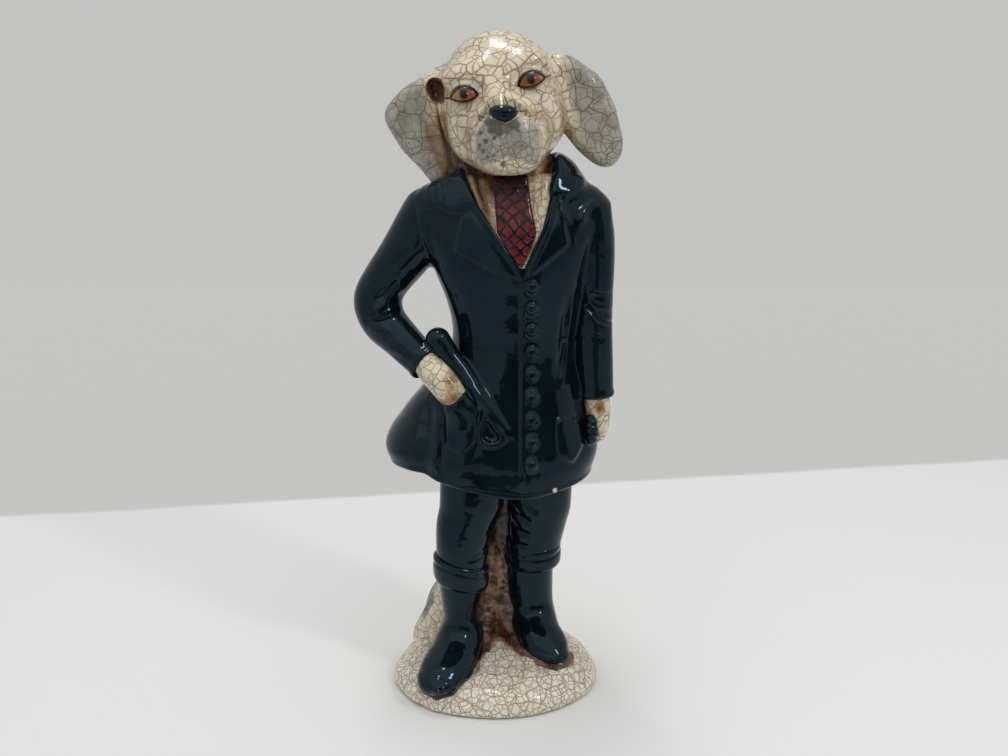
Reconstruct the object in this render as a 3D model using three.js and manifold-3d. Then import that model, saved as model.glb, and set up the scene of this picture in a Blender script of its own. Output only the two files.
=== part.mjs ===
// A crackle-glazed dog figurine in a riding coat, standing on an oval mound.
// Millimetres, +Z up. The dog looks along -Y and its right hand is at -X.
// The origin is the middle of the mound's flat underside.
import * as THREE from 'three';
import { mergeVertices } from 'three/addons/utils/BufferGeometryUtils.js';
import Module from 'manifold-3d';

const wasm = await Module();
wasm.setup();

// Driving dimensions
const clearance = 0.3;   // gap between neighbouring pieces
const wall = 5;          // thickness of the hollow castings

// Mound: an oval with a domed top and a drain hole behind the middle
const moundHalfWidth = 50;
const moundHalfDepth = 39.5;
const moundHeight = 17;
const drainRadius = 7;
const drainBehind = 18;

// Legs: the dog stands with its right foot forward
const hemAboveMound = 85;
// (a cuff hangs `cuffDrop` below the boot top; `instep` and `arch` are half the foot's height there)
const rightFoot = {
  x: -16.4, y: -1, toeOut: 20, toeReach: 33, halfWidth: 12, instep: 5.4, arch: 4.6,
  shaftRadius: 8.8, cuffDrop: 8, cuffHeight: 14.5,
};
const leftFoot = {
  x: 16.8, y: 14, toeOut: 26, toeReach: 31, halfWidth: 10.2, instep: 8.2, arch: 5.8,
  shaftRadius: 11, cuffDrop: 3.5, cuffHeight: 13,
};
const hipSpread = { right: -10, left: 21.6 };   // x of each leg where it enters the coat
const hipDepth = { right: 2, left: 11 };
const legRadius = 12.8;
const thighRadius = 14.9;
const bootHeight = 40;          // boot top above the mound's crown
const bootCalfRadius = 10.7;
const heelReach = 9;
const soleThickness = 2.4;
const soleWelt = 0.9;
const cuffThickness = 2.2;
const kneeRise = 8.5;           // where the breeches are full, above the boot top

// Stump: roots that spread over the mound, and a trunk between the legs up into the coat
const stumpSections = [
  { rise: -10, x: -6, y: 20.5, halfWidth: 36, halfDepth: 15 },
  { rise: -2, x: -6, y: 20.5, halfWidth: 35.5, halfDepth: 14.5 },
  { rise: 8, x: -4, y: 20.5, halfWidth: 32, halfDepth: 13 },
  { rise: 21, x: -3, y: 20.5, halfWidth: 28.5, halfDepth: 12 },
  { rise: 33, x: -0.5, y: 20, halfWidth: 19, halfDepth: 10.5 },
  { rise: 47, x: 2.5, y: 18.5, halfWidth: 13, halfDepth: 9.5 },
];
const stumpTop = { x: 4.5, y: 17, halfWidth: 12, halfDepth: 9 };

// Coat: half-widths and half-depths of its main sections, and their heights above the hem
const coatLength = 141;
// (the hem rises towards each side)
const hem = { halfWidth: 45.5, halfDepth: 33, x: -1, y: 6, riseRight: 10.5, riseLeft: 4.5 };
const flare = { above: 15, halfWidth: 49, halfDepth: 33, x: -1.2, y: 6, riseRight: 5.5, riseLeft: 2 };
const hip = { above: 32, halfWidth: 43, halfDepth: 29.5, x: 0.3, y: 6 };
const belly = { above: 46, halfWidth: 35.5, halfDepth: 25.5, x: 4, y: 5 };
const lowWaist = { above: 58, halfWidth: 29, halfDepth: 22, x: 7.5, y: 4.5 };
const waist = { above: 70, halfWidth: 27.4, halfDepth: 20.5, x: 9, y: 4 };
const ribs = { above: 84, halfWidth: 29.5, halfDepth: 22, x: 9, y: 4 };
const chest = { above: 99, halfWidth: 34, halfDepth: 23.5, x: 8, y: 4 };
const shoulder = { above: 118, halfWidth: 39.5, halfDepth: 22, x: 7, y: 5 };
const shoulderTop = { above: 131.5, halfWidth: 39, halfDepth: 18, x: 7, y: 6 };
const neckSlope = { above: 137.5, halfWidth: 32, halfDepth: 15.5, x: 7.5, y: 6 };
const neckRim = { halfWidth: 22, halfDepth: 14, x: 7.5, y: 6 };

// Coat trimmings, each a skin of this thickness on the coat
const shirtThickness = 1.2;
const tieThickness = 1.8;
const lapelThickness = 2.4;
const pocketThickness = 2.2;
const collarHalfHeight = 8;
const collarHalfThickness = 3.2;
const collarHalfWidth = 23;
const collarHalfDepth = 18.5;
const buttonCount = 9;
const buttonRadius = 3.2;
const buttonRise = 2.2;
const buttonSpacing = 9.7;
const topButton = { x: 17.1, above: 94.6 };

// Arms: stops down each sleeve, each `out` from the side of the coat section it hangs by, then the
// paws and the glove, placed from the wrist
const rightArm = [
  { by: shoulderTop, out: -4, y: 6, above: 123, radius: 11.8 },
  { by: shoulder, out: 4.5, y: 6, above: 107, radius: 12 },
  { by: shoulder, out: 16, y: 8, above: 92, radius: 10.9 },
  { by: shoulder, out: 19.1, y: 8, above: 83.5, radius: 11.2 },
  { by: shoulder, out: 16.5, y: 4, above: 75, radius: 10.4 },
  { by: belly, out: 9, y: -4, above: 68, radius: 8.6 },
  { by: belly, out: -0.5, y: -11, above: 61, radius: 8.2 },
];
const leftArm = [
  { by: shoulderTop, out: -4, y: 5, above: 125, radius: 9.2 },
  { by: shoulder, out: -2.2, y: 4, above: 110, radius: 9.3 },
  { by: hip, out: 1.9, y: 3, above: 84, radius: 8.4 },
  { by: hip, out: 1.5, y: 2, above: 64, radius: 8.4 },
  { by: hip, out: 2.3, y: 1, above: 46, radius: 8 },
];
const rightPawStops = [
  { x: 1.5, y: -1, down: 0, radius: 6.6 },
  { x: 8.1, y: -6.5, down: 7, radius: 7.2 },
  { x: 13.6, y: -9, down: 13.5, radius: 6 },
];
const leftPawStops = [
  { x: 0.4, y: -1, down: 5, radius: 6 },
  { x: 1.6, y: -4, down: 15, radius: 5.4 },
  { x: 1.4, y: -6, down: 22, radius: 4 },
];
const gloveStops = [
  { x: -1.8, y: -9.6, down: 9, radius: 3.4 },
  { x: -1.4, y: -10.6, down: 16, radius: 3.5 },
  { x: -1.6, y: -10.2, down: 22.5, radius: 3 },
];
const cropRadius = 4;
const loopRadius = 7.6;
const loopBand = 3;
const loopThickness = 2.6;

// Head, tilted towards its own right shoulder
const headTilt = 12;
const headAboveHem = 169;
const headPlace = { x: 4.5, y: 3 };
const skull = { halfWidth: 25, halfDepth: 26, halfHeight: 25.4, y: 3, z: 5.4 };
const jowl = { halfWidth: 24, halfDepth: 23, halfHeight: 17.5, y: -3, z: -8.5 };
const muzzlePad = { halfWidth: 14, halfDepth: 17, halfHeight: 12.6, y: -21, z: -15.2 };
const noseSize = { halfWidth: 5.4, halfDepth: 4.2, halfHeight: 3.9, y: -34.5, z: -2.4 };
const eyeSize = { halfWidth: 5.6, halfDepth: 3.2, halfHeight: 3.9, spread: 13.8, z: 7.6 };
const earThickness = 8;
const earBehind = 4;
const neckRadius = 16;

// Glazes
const glaze = (color, roughness) => new THREE.MeshStandardMaterial({ color, roughness, metalness: 0 });
const cream = glaze(0xd8cbb0, 0.3);
const grey = glaze(0x8b8c88, 0.3);
const black = glaze(0x0b1013, 0.15);
const bark = glaze(0x4a2c18, 0.35);
const soleBrown = glaze(0x3a2013, 0.4);
const red = glaze(0x6e1d12, 0.25);
const amber = glaze(0xa0531f, 0.2);

// Surfaces

// A closed skin over a list of rings that all have the same number of points.
function skin(rings) {
  const sides = rings[0].length;
  const middle = (ring) => ring.reduce((sum, p) => sum.add(p), new THREE.Vector3()).divideScalar(sides);
  const points = [...rings.flat(), middle(rings[0]), middle(rings.at(-1))];
  const first = rings.length * sides;
  const faces = [];
  for (let k = 0; k < sides; k++) {
    const next = (k + 1) % sides;
    for (let r = 0; r + 1 < rings.length; r++) {
      const [a, b, c, d] = [r * sides + k, r * sides + next, (r + 1) * sides + k, (r + 1) * sides + next];
      faces.push(a, b, d, a, d, c);
    }
    faces.push(first, next, k);
    faces.push(first + 1, first - sides + k, first - sides + next);
  }
  const geometry = new THREE.BufferGeometry().setFromPoints(points);
  geometry.setIndex(faces);
  return geometry;
}

// A rounded-oval ring; a higher `square` gives fuller corners, and each side and the back can rise.
function ring({ x, y, z, halfWidth, halfDepth, riseRight = 0, riseLeft = 0, riseBack = 0 }, sides, square) {
  const bulge = (c) => Math.sign(c) * Math.abs(c) ** (2 / square);
  return Array.from({ length: sides }, (_, k) => {
    const turn = (2 * Math.PI * k) / sides;
    const across = bulge(Math.cos(turn));
    const back = Math.max(Math.sin(turn), 0);
    return new THREE.Vector3(
      x + halfWidth * across,
      y + halfDepth * bulge(Math.sin(turn)),
      z + (across < 0 ? riseRight * across * (-2 - across) : riseLeft * across * across) + riseBack * back,
    );
  });
}

// An upright body through horizontal sections, grown outwards by `grow` all round.
function upright(sections, sides, square = 2, grow = 0) {
  const last = sections.length - 1;
  return skin(sections.map((s, i) => ring({
    ...s,
    z: s.z + (i === last ? grow : 0) - (i === 0 ? grow : 0),
    halfWidth: s.halfWidth + grow,
    halfDepth: s.halfDepth + grow,
  }, sides, square)));
}

// The section at height z on a smooth curve through key sections.
function sectionAt(keys, height) {
  const z = Math.min(height, keys.at(-1).z);
  const i = Math.max(keys.findIndex((key) => key.z >= z), 1);
  const [a, b] = [keys[i - 1], keys[i]];
  const before = keys[i - 2] ?? a;
  const after = keys[i + 1] ?? b;
  const span = b.z - a.z;
  const t = (z - a.z) / span;
  const along = (name) => {
    const slopeA = ((b[name] - before[name]) / (b.z - before.z)) * span;
    const slopeB = ((after[name] - a[name]) / (after.z - a.z)) * span;
    const rise = b[name] - a[name];
    const bend = (slopeA + slopeB - 2 * rise) * t + 3 * rise - 2 * slopeA - slopeB;
    return a[name] + t * (slopeA + t * bend);
  };
  const names = Object.keys(a).filter((name) => name !== 'z');
  return { z, ...Object.fromEntries(names.map((name) => [name, along(name)])) };
}

function smooth(keys, steps) {
  const rise = (keys.at(-1).z - keys[0].z) / steps;
  return Array.from({ length: steps + 1 }, (_, i) => sectionAt(keys, keys[0].z + i * rise));
}

// A limb along a smooth path with rounded ends; each stop gives its place, and the
// half-size across the path (level where the path is level) and up it.
function limb(stops, { steps = 8, sides = 14, grow = 0 } = {}) {
  const path = new THREE.CatmullRomCurve3(stops.map((s) => new THREE.Vector3(...s.at)));
  const sizes = new THREE.CatmullRomCurve3(stops.map((s) => new THREE.Vector3(s.across, s.up ?? s.across, 0)));
  const start = path.getTangent(0);
  const level = Math.abs(start.z) > 0.94 ? new THREE.Vector3(0, 1, 0) : new THREE.Vector3(0, 0, 1);
  const across = new THREE.Vector3().crossVectors(level, start);
  const rings = [];
  const add = (t, push, shrink) => {
    const along = path.getTangent(t);
    across.addScaledVector(along, -across.dot(along)).normalize();
    const upward = new THREE.Vector3().crossVectors(along, across);
    const size = sizes.getPoint(t).addScalar(grow);
    const middle = path.getPoint(t).addScaledVector(along, push * Math.min(size.x, size.y));
    rings.push(Array.from({ length: sides }, (_, k) => {
      const turn = (2 * Math.PI * k) / sides;
      return middle.clone()
        .addScaledVector(across, size.x * shrink * Math.cos(turn))
        .addScaledVector(upward, size.y * shrink * Math.sin(turn));
    }));
  };
  const ends = [[0.94, 0.34], [0.62, 0.78]];
  ends.forEach(([push, shrink]) => add(0, -push, shrink));
  for (let i = 0; i <= steps; i++) add(i / steps, 0, 1);
  ends.toReversed().forEach(([push, shrink]) => add(1, push, shrink));
  return skin(rings);
}

function ball({ halfWidth, halfDepth, halfHeight }, grow = 0, segments = 20) {
  return new THREE.SphereGeometry(1, segments, segments / 2)
    .rotateX(Math.PI / 2)
    .scale(halfWidth + grow, halfDepth + grow, halfHeight + grow);
}

// A straight bar along Y whose outline is drawn in X and Z, as seen from the front.
function frontBar(outline, front, back, holes = []) {
  const shape = new THREE.Shape(outline.map(([x, z]) => new THREE.Vector2(x, z)));
  shape.holes = holes.map((h) => new THREE.Path(h.map(([x, z]) => new THREE.Vector2(x, z))));
  return new THREE.ExtrudeGeometry(shape, { depth: back - front, bevelEnabled: false })
    .rotateX(Math.PI / 2)
    .translate(0, back, 0);
}

// Solids

function solid(geometry) {
  const bare = new THREE.BufferGeometry();
  bare.setAttribute('position', geometry.getAttribute('position'));
  bare.setIndex(geometry.getIndex());
  const joined = mergeVertices(bare, 1e-4);
  return new wasm.Manifold(new wasm.Mesh({
    numProp: 3,
    vertProperties: joined.getAttribute('position').array,
    triVerts: new Uint32Array(joined.getIndex().array),
  }));
}

const cut = (body, ...tools) => tools.reduce((rest, tool) => rest.subtract(tool), body);
const inFrameOf = (group, body) => body.transform(group.matrix.clone().invert().elements);
const outOf = (group, body) => body.transform(group.matrix.elements);

// The largest piece of a body that a cut may have left in several.
const main = (body) => body.decompose().sort((a, b) => b.volume() - a.volume())[0];

function piece(name, body, material, parent = figurine) {
  const { numProp, vertProperties, triVerts } = main(body).getMesh();
  const geometry = new THREE.BufferGeometry();
  geometry.setAttribute('position', new THREE.BufferAttribute(vertProperties, numProp));
  geometry.setIndex(new THREE.BufferAttribute(triVerts, 1));
  geometry.computeVertexNormals();
  const mesh = new THREE.Mesh(geometry, material);
  mesh.name = name;
  parent.add(mesh);
}

const figurine = new THREE.Group();
figurine.name = 'dog_figurine';

// Mound: shares of the half-width and of the height, from the underside to the crown, and the share
// of the height by which the back stands higher
const moundProfile = [
  [0.93, 0, 0], [0.985, 0.12, 0], [1, 0.26, 0.06], [0.975, 0.42, 0.18], [0.9, 0.57, 0.24],
  [0.7, 0.79, 0.17], [0.4, 0.94, 0.07], [0.12, 1, 0],
];

function mound(grow) {
  const sections = moundProfile.map(([share, rise, behind]) => ({
    x: 0,
    y: 0,
    z: moundHeight * rise + (rise > 0.3 ? grow : 0),
    halfWidth: moundHalfWidth * share,
    halfDepth: moundHalfDepth * share,
    riseBack: moundHeight * behind,
  }));
  return solid(upright(sections, 32, 2, grow));
}

// Height of the mound's top above the underside, at a place on it
function groundAt(x, y) {
  const reach = Math.hypot(x / moundHalfWidth, y / moundHalfDepth);
  const top = moundProfile.slice(3).toReversed();
  const i = Math.min(Math.max(top.findIndex(([share]) => share >= reach), 1), top.length - 1);
  const [[near, high, innerBack], [far, low, outerBack]] = [top[i - 1], top[i]];
  const t = THREE.MathUtils.clamp((reach - near) / (far - near), 0, 1);
  const back = Math.max(y / moundHalfDepth / reach, 0);
  return moundHeight * (high + (low - high) * t + back * (innerBack + (outerBack - innerBack) * t));
}

const moundHollow = solid(upright([
  { x: 0, y: 0, z: wall, halfWidth: 0.9 * moundHalfWidth - wall, halfDepth: 0.9 * moundHalfDepth - wall },
  { x: 0, y: 0, z: moundHeight - wall, halfWidth: 0.45 * moundHalfWidth, halfDepth: 0.45 * moundHalfDepth },
], 20));
const drain = solid(new THREE.CylinderGeometry(drainRadius, drainRadius, 3 * wall, 20)
  .rotateX(Math.PI / 2).translate(0, drainBehind, 0));
const ground = mound(clearance);
piece('mound', cut(mound(0), moundHollow, drain), cream);

// Boots and breeches
const bootTop = moundHeight + bootHeight;
const hemHeight = moundHeight + hemAboveMound;
const legs = {
  right: { foot: rightFoot, side: -1, hipX: hipSpread.right, hipY: hipDepth.right },
  left: { foot: leftFoot, side: 1, hipX: hipSpread.left, hipY: hipDepth.left },
};

function footStops({ foot, side }) {
  const turn = THREE.MathUtils.degToRad(foot.toeOut) * side;
  const at = (forward, up) => {
    const x = foot.x + forward * Math.sin(turn);
    const y = foot.y - forward * Math.cos(turn);
    return [x, y, groundAt(x, y) + up];
  };
  return [
    { at: at(8 - heelReach, 8), across: 7.4, up: 8 },
    { at: at(0.35 * foot.toeReach, foot.instep), across: foot.halfWidth, up: foot.instep + 0.2 },
    { at: at(0.62 * foot.toeReach, foot.arch), across: foot.halfWidth, up: foot.arch + 0.6 },
    { at: at(foot.toeReach - 6, 4), across: foot.halfWidth - 2.8, up: 4.6 },
  ];
}

const footOf = (leg, grow) => solid(limb(footStops(leg), { steps: 7, sides: 12, grow }));

function bootOf(leg, grow) {
  const { x, y, shaftRadius } = leg.foot;
  const shaft = smooth([
    { x, y, z: moundHeight, halfWidth: shaftRadius, halfDepth: shaftRadius + 1 },
    { x, y, z: moundHeight + 0.45 * bootHeight, halfWidth: shaftRadius, halfDepth: shaftRadius },
    { x, y, z: bootTop, halfWidth: bootCalfRadius, halfDepth: bootCalfRadius },
  ], 4);
  return footOf(leg, grow).add(solid(upright(shaft, 16, 2, grow)));
}

function breechesOf({ foot, hipX, hipY }, grow) {
  const bottom = bootTop + clearance;
  const top = hemHeight + flare.above;
  const lean = 0.85;   // share of the way to the hip at half height
  const middle = { x: foot.x + lean * (hipX - foot.x), y: foot.y + lean * (hipY - foot.y) };
  return solid(upright(smooth([
    { x: foot.x, y: foot.y, z: bottom, halfWidth: legRadius - 1.6, halfDepth: legRadius - 1.6 },
    { x: foot.x, y: foot.y, z: bottom + kneeRise, halfWidth: legRadius - 0.6, halfDepth: legRadius - 0.6 },
    { ...middle, z: (bottom + top) / 2, halfWidth: thighRadius, halfDepth: legRadius },
    { x: hipX, y: hipY, z: top, halfWidth: thighRadius, halfDepth: legRadius + 0.4 },
  ], 5), 16, 2, grow));
}

function cuffOf({ foot: { x, y, cuffDrop, cuffHeight } }, grow) {
  const low = bootTop - cuffDrop;
  const outer = legRadius - 0.6 + cuffThickness;
  return solid(upright(smooth([
    { x, y, z: low, halfWidth: outer - 1.6, halfDepth: outer - 1.6 },
    { x, y, z: low + 0.12 * cuffHeight, halfWidth: outer, halfDepth: outer },
    { x, y, z: low + 0.9 * cuffHeight, halfWidth: outer, halfDepth: outer },
    { x, y, z: low + cuffHeight, halfWidth: outer - 1.4, halfDepth: outer - 1.4 },
  ], 5), 16, 2, grow));
}

// Coat
const coatKeys = [
  { above: 0, ...hem },
  flare, hip, belly, lowWaist, waist, ribs, chest, shoulder, shoulderTop, neckSlope,
  { above: coatLength, ...neckRim },
].map(({ above, ...key }) => ({ riseRight: 0, riseLeft: 0, ...key, z: hemHeight + above }));
const coatSquare = 2.2;
const neckHeight = hemHeight + coatLength;

const coat = (grow) => solid(upright(smooth(coatKeys, 20), 32, coatSquare, grow));
const coatSkin = (from, to) => coat(to).subtract(coat(from));
const coatClear = coat(clearance);

// How far forward the coat's front lies at a place seen from the front
function coatFront(x, z) {
  const { x: middle, y, halfWidth, halfDepth } = sectionAt(coatKeys, z);
  const across = Math.min(Math.abs(x - middle) / halfWidth, 0.98);
  return y - halfDepth * (1 - across ** coatSquare) ** (1 / coatSquare);
}

const coatHollow = solid(upright(smooth(coatKeys, 10).map((s, i) => ({
  ...s,
  z: s.z + (i === 0 ? wall : 0) + (i === 10 ? 1 : 0),
  halfWidth: s.halfWidth - wall,
  halfDepth: s.halfDepth - wall,
})), 16, coatSquare));
piece('coat', coat(0).subtract(coatHollow), black);

const soleTop = mound(soleThickness + 2 * clearance);
const soleBand = mound(soleThickness + clearance).subtract(ground);
for (const [side, leg] of Object.entries(legs)) {
  piece(`${side}_boot`, bootOf(leg, 0).subtract(soleTop), black);
  piece(`${side}_sole`, footOf(leg, soleWelt).intersect(soleBand), soleBrown);
  piece(`${side}_cuff`, cut(cuffOf(leg, 0), breechesOf(leg, clearance), bootOf(leg, clearance)), black);
  piece(`${side}_leg`, breechesOf(leg, 0).subtract(coatClear), black);
}

const stump = smooth(stumpSections.map(({ rise, ...section }) => ({ ...section, z: moundHeight + rise })).concat({
  ...stumpTop,
  z: hemHeight + flare.above,
}), 12);
const aroundLegs = Object.values(legs).flatMap((leg) => [
  bootOf(leg, clearance),
  footOf(leg, soleWelt + clearance),
  cuffOf(leg, clearance),
  breechesOf(leg, clearance),
]);
piece('stump', cut(solid(upright(stump, 20)), ground, coatClear, ...aroundLegs), bark);

// Head group: everything on it is placed from the middle of the skull
const head = new THREE.Group();
head.name = 'head_group';
head.position.set(headPlace.x, headPlace.y, hemHeight + headAboveHem);
head.rotation.y = -THREE.MathUtils.degToRad(headTilt);
head.updateMatrix();
figurine.add(head);

const placed = (part, grow, segments) => solid(ball(part, grow, segments).translate(part.x ?? 0, part.y, part.z));
const headBody = (grow) => placed(skull, grow, 24).add(placed(jowl, grow, 24));
const muzzleBody = (grow) => placed(muzzlePad, grow, 18);
const noseBody = (grow) => placed(noseSize, grow, 12);
const headClear = outOf(head, headBody(clearance).add(muzzleBody(clearance)));

// Neck, from the coat's rim into the head
const neckBody = (grow) => solid(upright([
  { ...neckRim, z: neckHeight + clearance, halfWidth: neckRadius + 1.5, halfDepth: neckRadius - 2 },
  { ...neckRim, z: neckHeight + 8, x: 6.5, y: 4, halfWidth: neckRadius, halfDepth: neckRadius - 1 },
  { x: headPlace.x, y: headPlace.y, z: hemHeight + headAboveHem - jowl.halfHeight, halfWidth: neckRadius, halfDepth: neckRadius },
], 18, 2, grow));
const neckBore = solid(new THREE.CylinderGeometry(neckRadius - wall, neckRadius - wall, 60, 14)
  .rotateX(Math.PI / 2).translate(neckRim.x, neckRim.y, neckHeight));
piece('neck', cut(neckBody(0), headClear, coatClear, neckBore), cream);
const neckClear = neckBody(clearance);

const headHollow = placed({
  ...skull,
  halfWidth: skull.halfWidth - wall,
  halfDepth: skull.halfDepth - wall,
  halfHeight: skull.halfHeight - wall,
}, 0, 14);
piece('head', cut(headBody(0), headHollow, inFrameOf(head, neckBore)), cream, head);
piece('muzzle', muzzleBody(0).subtract(headBody(clearance)), grey, head);
piece('nose', cut(noseBody(0), headBody(clearance), muzzleBody(clearance)), black, head);

for (const [side, sign] of [['right', -1], ['left', 1]]) {
  const { spread, z } = eyeSize;
  const share = (spread / skull.halfWidth) ** 2 + ((z - skull.z) / skull.halfHeight) ** 2;
  const y = skull.y - skull.halfDepth * Math.sqrt(1 - share);
  const turn = Math.atan2(spread / skull.halfWidth ** 2, (skull.y - y) / skull.halfDepth ** 2);
  const eye = solid(ball(eyeSize, 0, 12).rotateZ(sign * turn).translate(sign * spread, y, z));
  piece(`${side}_eye`, eye.subtract(headBody(clearance)), amber, head);
}

// Collar: a band round the back of the neck that comes down to the lapels
const collarHeight = neckHeight - 5;
function collarBody(grow) {
  const stop = (degrees, up) => {
    const turn = THREE.MathUtils.degToRad(degrees);
    return {
      at: [
        neckRim.x + collarHalfWidth * Math.sin(turn),
        neckRim.y - collarHalfDepth * Math.cos(turn),
        collarHeight + up,
      ],
      across: collarHalfThickness,
      up: collarHalfHeight,
    };
  };
  const stops = [stop(-62, -5), stop(-90, -3.5), stop(-135, 1), stop(180, 4), stop(135, 6), stop(90, 6), stop(62, 4.5)];
  return solid(limb(stops, { steps: 13, sides: 10, grow }));
}
const collarClear = collarBody(clearance);
piece('collar', cut(collarBody(0), coatClear, neckClear, headClear), black);

// Shirt, tie and lapels: outlines as [x, height above the hem], seen from the front
const onCoat = (outline) => outline.map(([x, above]) => [x, hemHeight + above]);
const sheet = (outline, holes = []) => solid(frontBar(onCoat(outline), -60, 4, holes.map(onCoat)));
const rightOpening = [[-13.5, 140], [-4.8, 127.3], [2.1, 117.1], [11.9, 103]];
const leftOpening = [[28, 140], [24.2, 129], [21.4, 119], [13.9, 103]];
const inset = 2 * clearance;
const shirtOutline = [
  ...rightOpening.map(([x, above]) => [x + inset, above]),
  ...leftOpening.map(([x, above]) => [x - inset, above]).toReversed(),
];
const rightLapel = [...rightOpening, [13, 97.4], [-0.7, 102], [-16.1, 109.8], [-12.7, 124.5]];
const leftLapel = [...leftOpening, [13.6, 97.6], [22.5, 103.5], [33.1, 111.8], [30, 126.5]];
const tieOutline = [[1, 140], [1.4, 127.7], [2.4, 117.5], [12.6, 103.8], [19, 117.3], [16.6, 127.7], [14.9, 140]];
const tieSheet = sheet(tieOutline);
const shirtTop = clearance + shirtThickness;

piece('shirt_front', cut(sheet(shirtOutline).intersect(coatSkin(clearance, shirtTop)), neckClear, collarClear), cream);
piece('tie', cut(
  tieSheet.intersect(coatSkin(shirtTop + clearance, shirtTop + clearance + tieThickness)),
  neckClear, collarClear, headClear,
), red);
const lapelSkin = coatSkin(clearance, clearance + lapelThickness);
piece('right_lapel', cut(sheet(rightLapel).intersect(lapelSkin), collarClear, tieSheet), black);
piece('left_lapel', cut(sheet(leftLapel).intersect(lapelSkin), collarClear, tieSheet), black);

for (let i = 0; i < buttonCount; i++) {
  const z = hemHeight + topButton.above - i * buttonSpacing;
  const dome = { halfWidth: buttonRadius, halfDepth: buttonRise, halfHeight: buttonRadius };
  const button = solid(ball(dome, 0, 10).translate(topButton.x, coatFront(topButton.x, z), z));
  piece(`coat_button_${i + 1}`, button.subtract(coatClear), black);
}

// Sleeves
const armStops = (side, stops) => stops.map(({ by, out, y, above, radius }) => ({
  at: [by.x + side * (by.halfWidth + out), y, hemHeight + above],
  across: radius,
}));
const rightArmStops = armStops(-1, rightArm);
const leftArmStops = armStops(1, leftArm);
const rightSleeve = (grow) => solid(limb(rightArmStops, { steps: 14, sides: 12, grow }));
const leftSleeve = (grow) => solid(limb(leftArmStops, { steps: 9, sides: 12, grow }));
const sleeveClear = { right: rightSleeve(clearance), left: leftSleeve(clearance) };
piece('right_sleeve', cut(rightSleeve(0), coatClear, collarClear, sheet(rightLapel)), black);
piece('left_sleeve', cut(leftSleeve(0), coatClear, collarClear), black);

// Riding crop, its loop, the paws, the pockets and the folded glove
const againstCoat = (x, above, lift) => [x, coatFront(x, hemHeight + above) - lift, hemHeight + above];
const cropBody = (grow) => solid(limb([
  { at: [-24.5, -12.5, hemHeight + 70], across: cropRadius + 0.6 },
  { at: [-14, -15, hemHeight + 58], across: cropRadius },
  { at: againstCoat(-4, 47, 1), across: cropRadius - 0.6 },
  { at: againstCoat(7, 34, 1), across: cropRadius - 1 },
], { steps: 6, sides: 10, grow }));
piece('riding_crop', cut(cropBody(0), coatClear, sleeveClear.right), black);
const cropClear = cropBody(clearance);

const fromWrist = (arm, stops) => stops.map(({ x, y, down, radius }) => {
  const [wristX, wristY, wristZ] = arm.at(-1).at;
  return { at: [wristX + x, wristY + y, wristZ - down], across: radius };
});
const rightPaw = (grow) => solid(limb(fromWrist(rightArmStops, rightPawStops), { steps: 5, sides: 12, grow }));
const leftPaw = (grow) => solid(limb(fromWrist(leftArmStops, leftPawStops), { steps: 5, sides: 10, grow }));
const glove = (grow) => solid(limb(fromWrist(leftArmStops, gloveStops), { steps: 4, sides: 8, grow }));
piece('right_paw', cut(rightPaw(0), coatClear, sleeveClear.right, cropClear), cream);
piece('left_paw', cut(leftPaw(0), coatClear, sleeveClear.left), cream);
piece('glove', cut(glove(0), coatClear, sleeveClear.left, leftPaw(clearance)), black);

const teardrop = (radius) => Array.from({ length: 20 }, (_, k) => {
  const turn = (2 * Math.PI * k) / 20;
  const narrow = Math.sin(turn) > 0 ? 1 - 0.45 * Math.sin(turn) : 1;
  return [-0.5 + radius * 0.9 * narrow * Math.cos(turn), 31 + radius * Math.sin(turn) * (narrow < 1 ? 1.35 : 1)];
});
piece('crop_loop', cut(
  sheet(teardrop(loopRadius), [teardrop(loopRadius - loopBand)]).intersect(coatSkin(clearance, clearance + loopThickness)),
  cropClear,
), black);

const pocketSkin = coatSkin(clearance, clearance + pocketThickness);
const rightPocket = [[-21.5, 41], [-13, 45.5], [-9.4, 44], [-9.4, 22.6], [-20.3, 24]];
const leftPocket = [[27.5, 36.6], [40, 33], [40, 21], [35, 14.5], [28, 21]];
piece('right_pocket', cut(sheet(rightPocket).intersect(pocketSkin), rightPaw(clearance), cropClear), black);
piece('left_pocket', cut(sheet(leftPocket).intersect(pocketSkin), glove(clearance), leftPaw(clearance)), black);

// Ears: outlines in the head's own frame, drawn from the root round the tip
const rightEar = [
  [-23, 19.5], [-41, 15.5], [-50.5, 8], [-49.5, -4], [-43, -17], [-37, -28], [-30, -31], [-24, -24], [-21, -8], [-21, 4],
];
const leftEar = [[24, 15.5], [34, 14.5], [45, 0], [49, -18], [45, -33], [36, -35.5], [25, -23], [22, -6]];

const earLayers = [[-1, 0.45], [-0.85, 0.78], [-0.45, 0.95], [0, 1], [0.45, 0.95], [0.85, 0.78], [1, 0.45]];

function ear(outline) {
  const edge = new THREE.SplineCurve([...outline, outline[0]].map(([x, z]) => new THREE.Vector2(x, z)))
    .getPoints(26).slice(0, -1);
  if (!THREE.ShapeUtils.isClockWise(edge)) edge.reverse();
  const middle = edge.reduce((sum, p) => sum.add(p), new THREE.Vector2()).divideScalar(edge.length);
  return solid(skin(earLayers.map(([layer, share]) => edge.map((p) => {
    const { x, y: z } = middle.clone().lerp(p, share);
    return new THREE.Vector3(x, earBehind + (layer * earThickness) / 2, z);
  }))));
}

const besideEars = [coatClear, collarClear, sleeveClear.right, sleeveClear.left].map((body) => inFrameOf(head, body));
piece('right_ear', cut(ear(rightEar), headBody(clearance), ...besideEars), cream, head);
piece('left_ear', cut(ear(leftEar), headBody(clearance), ...besideEars), cream, head);

export default figurine;
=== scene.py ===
import math

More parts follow.
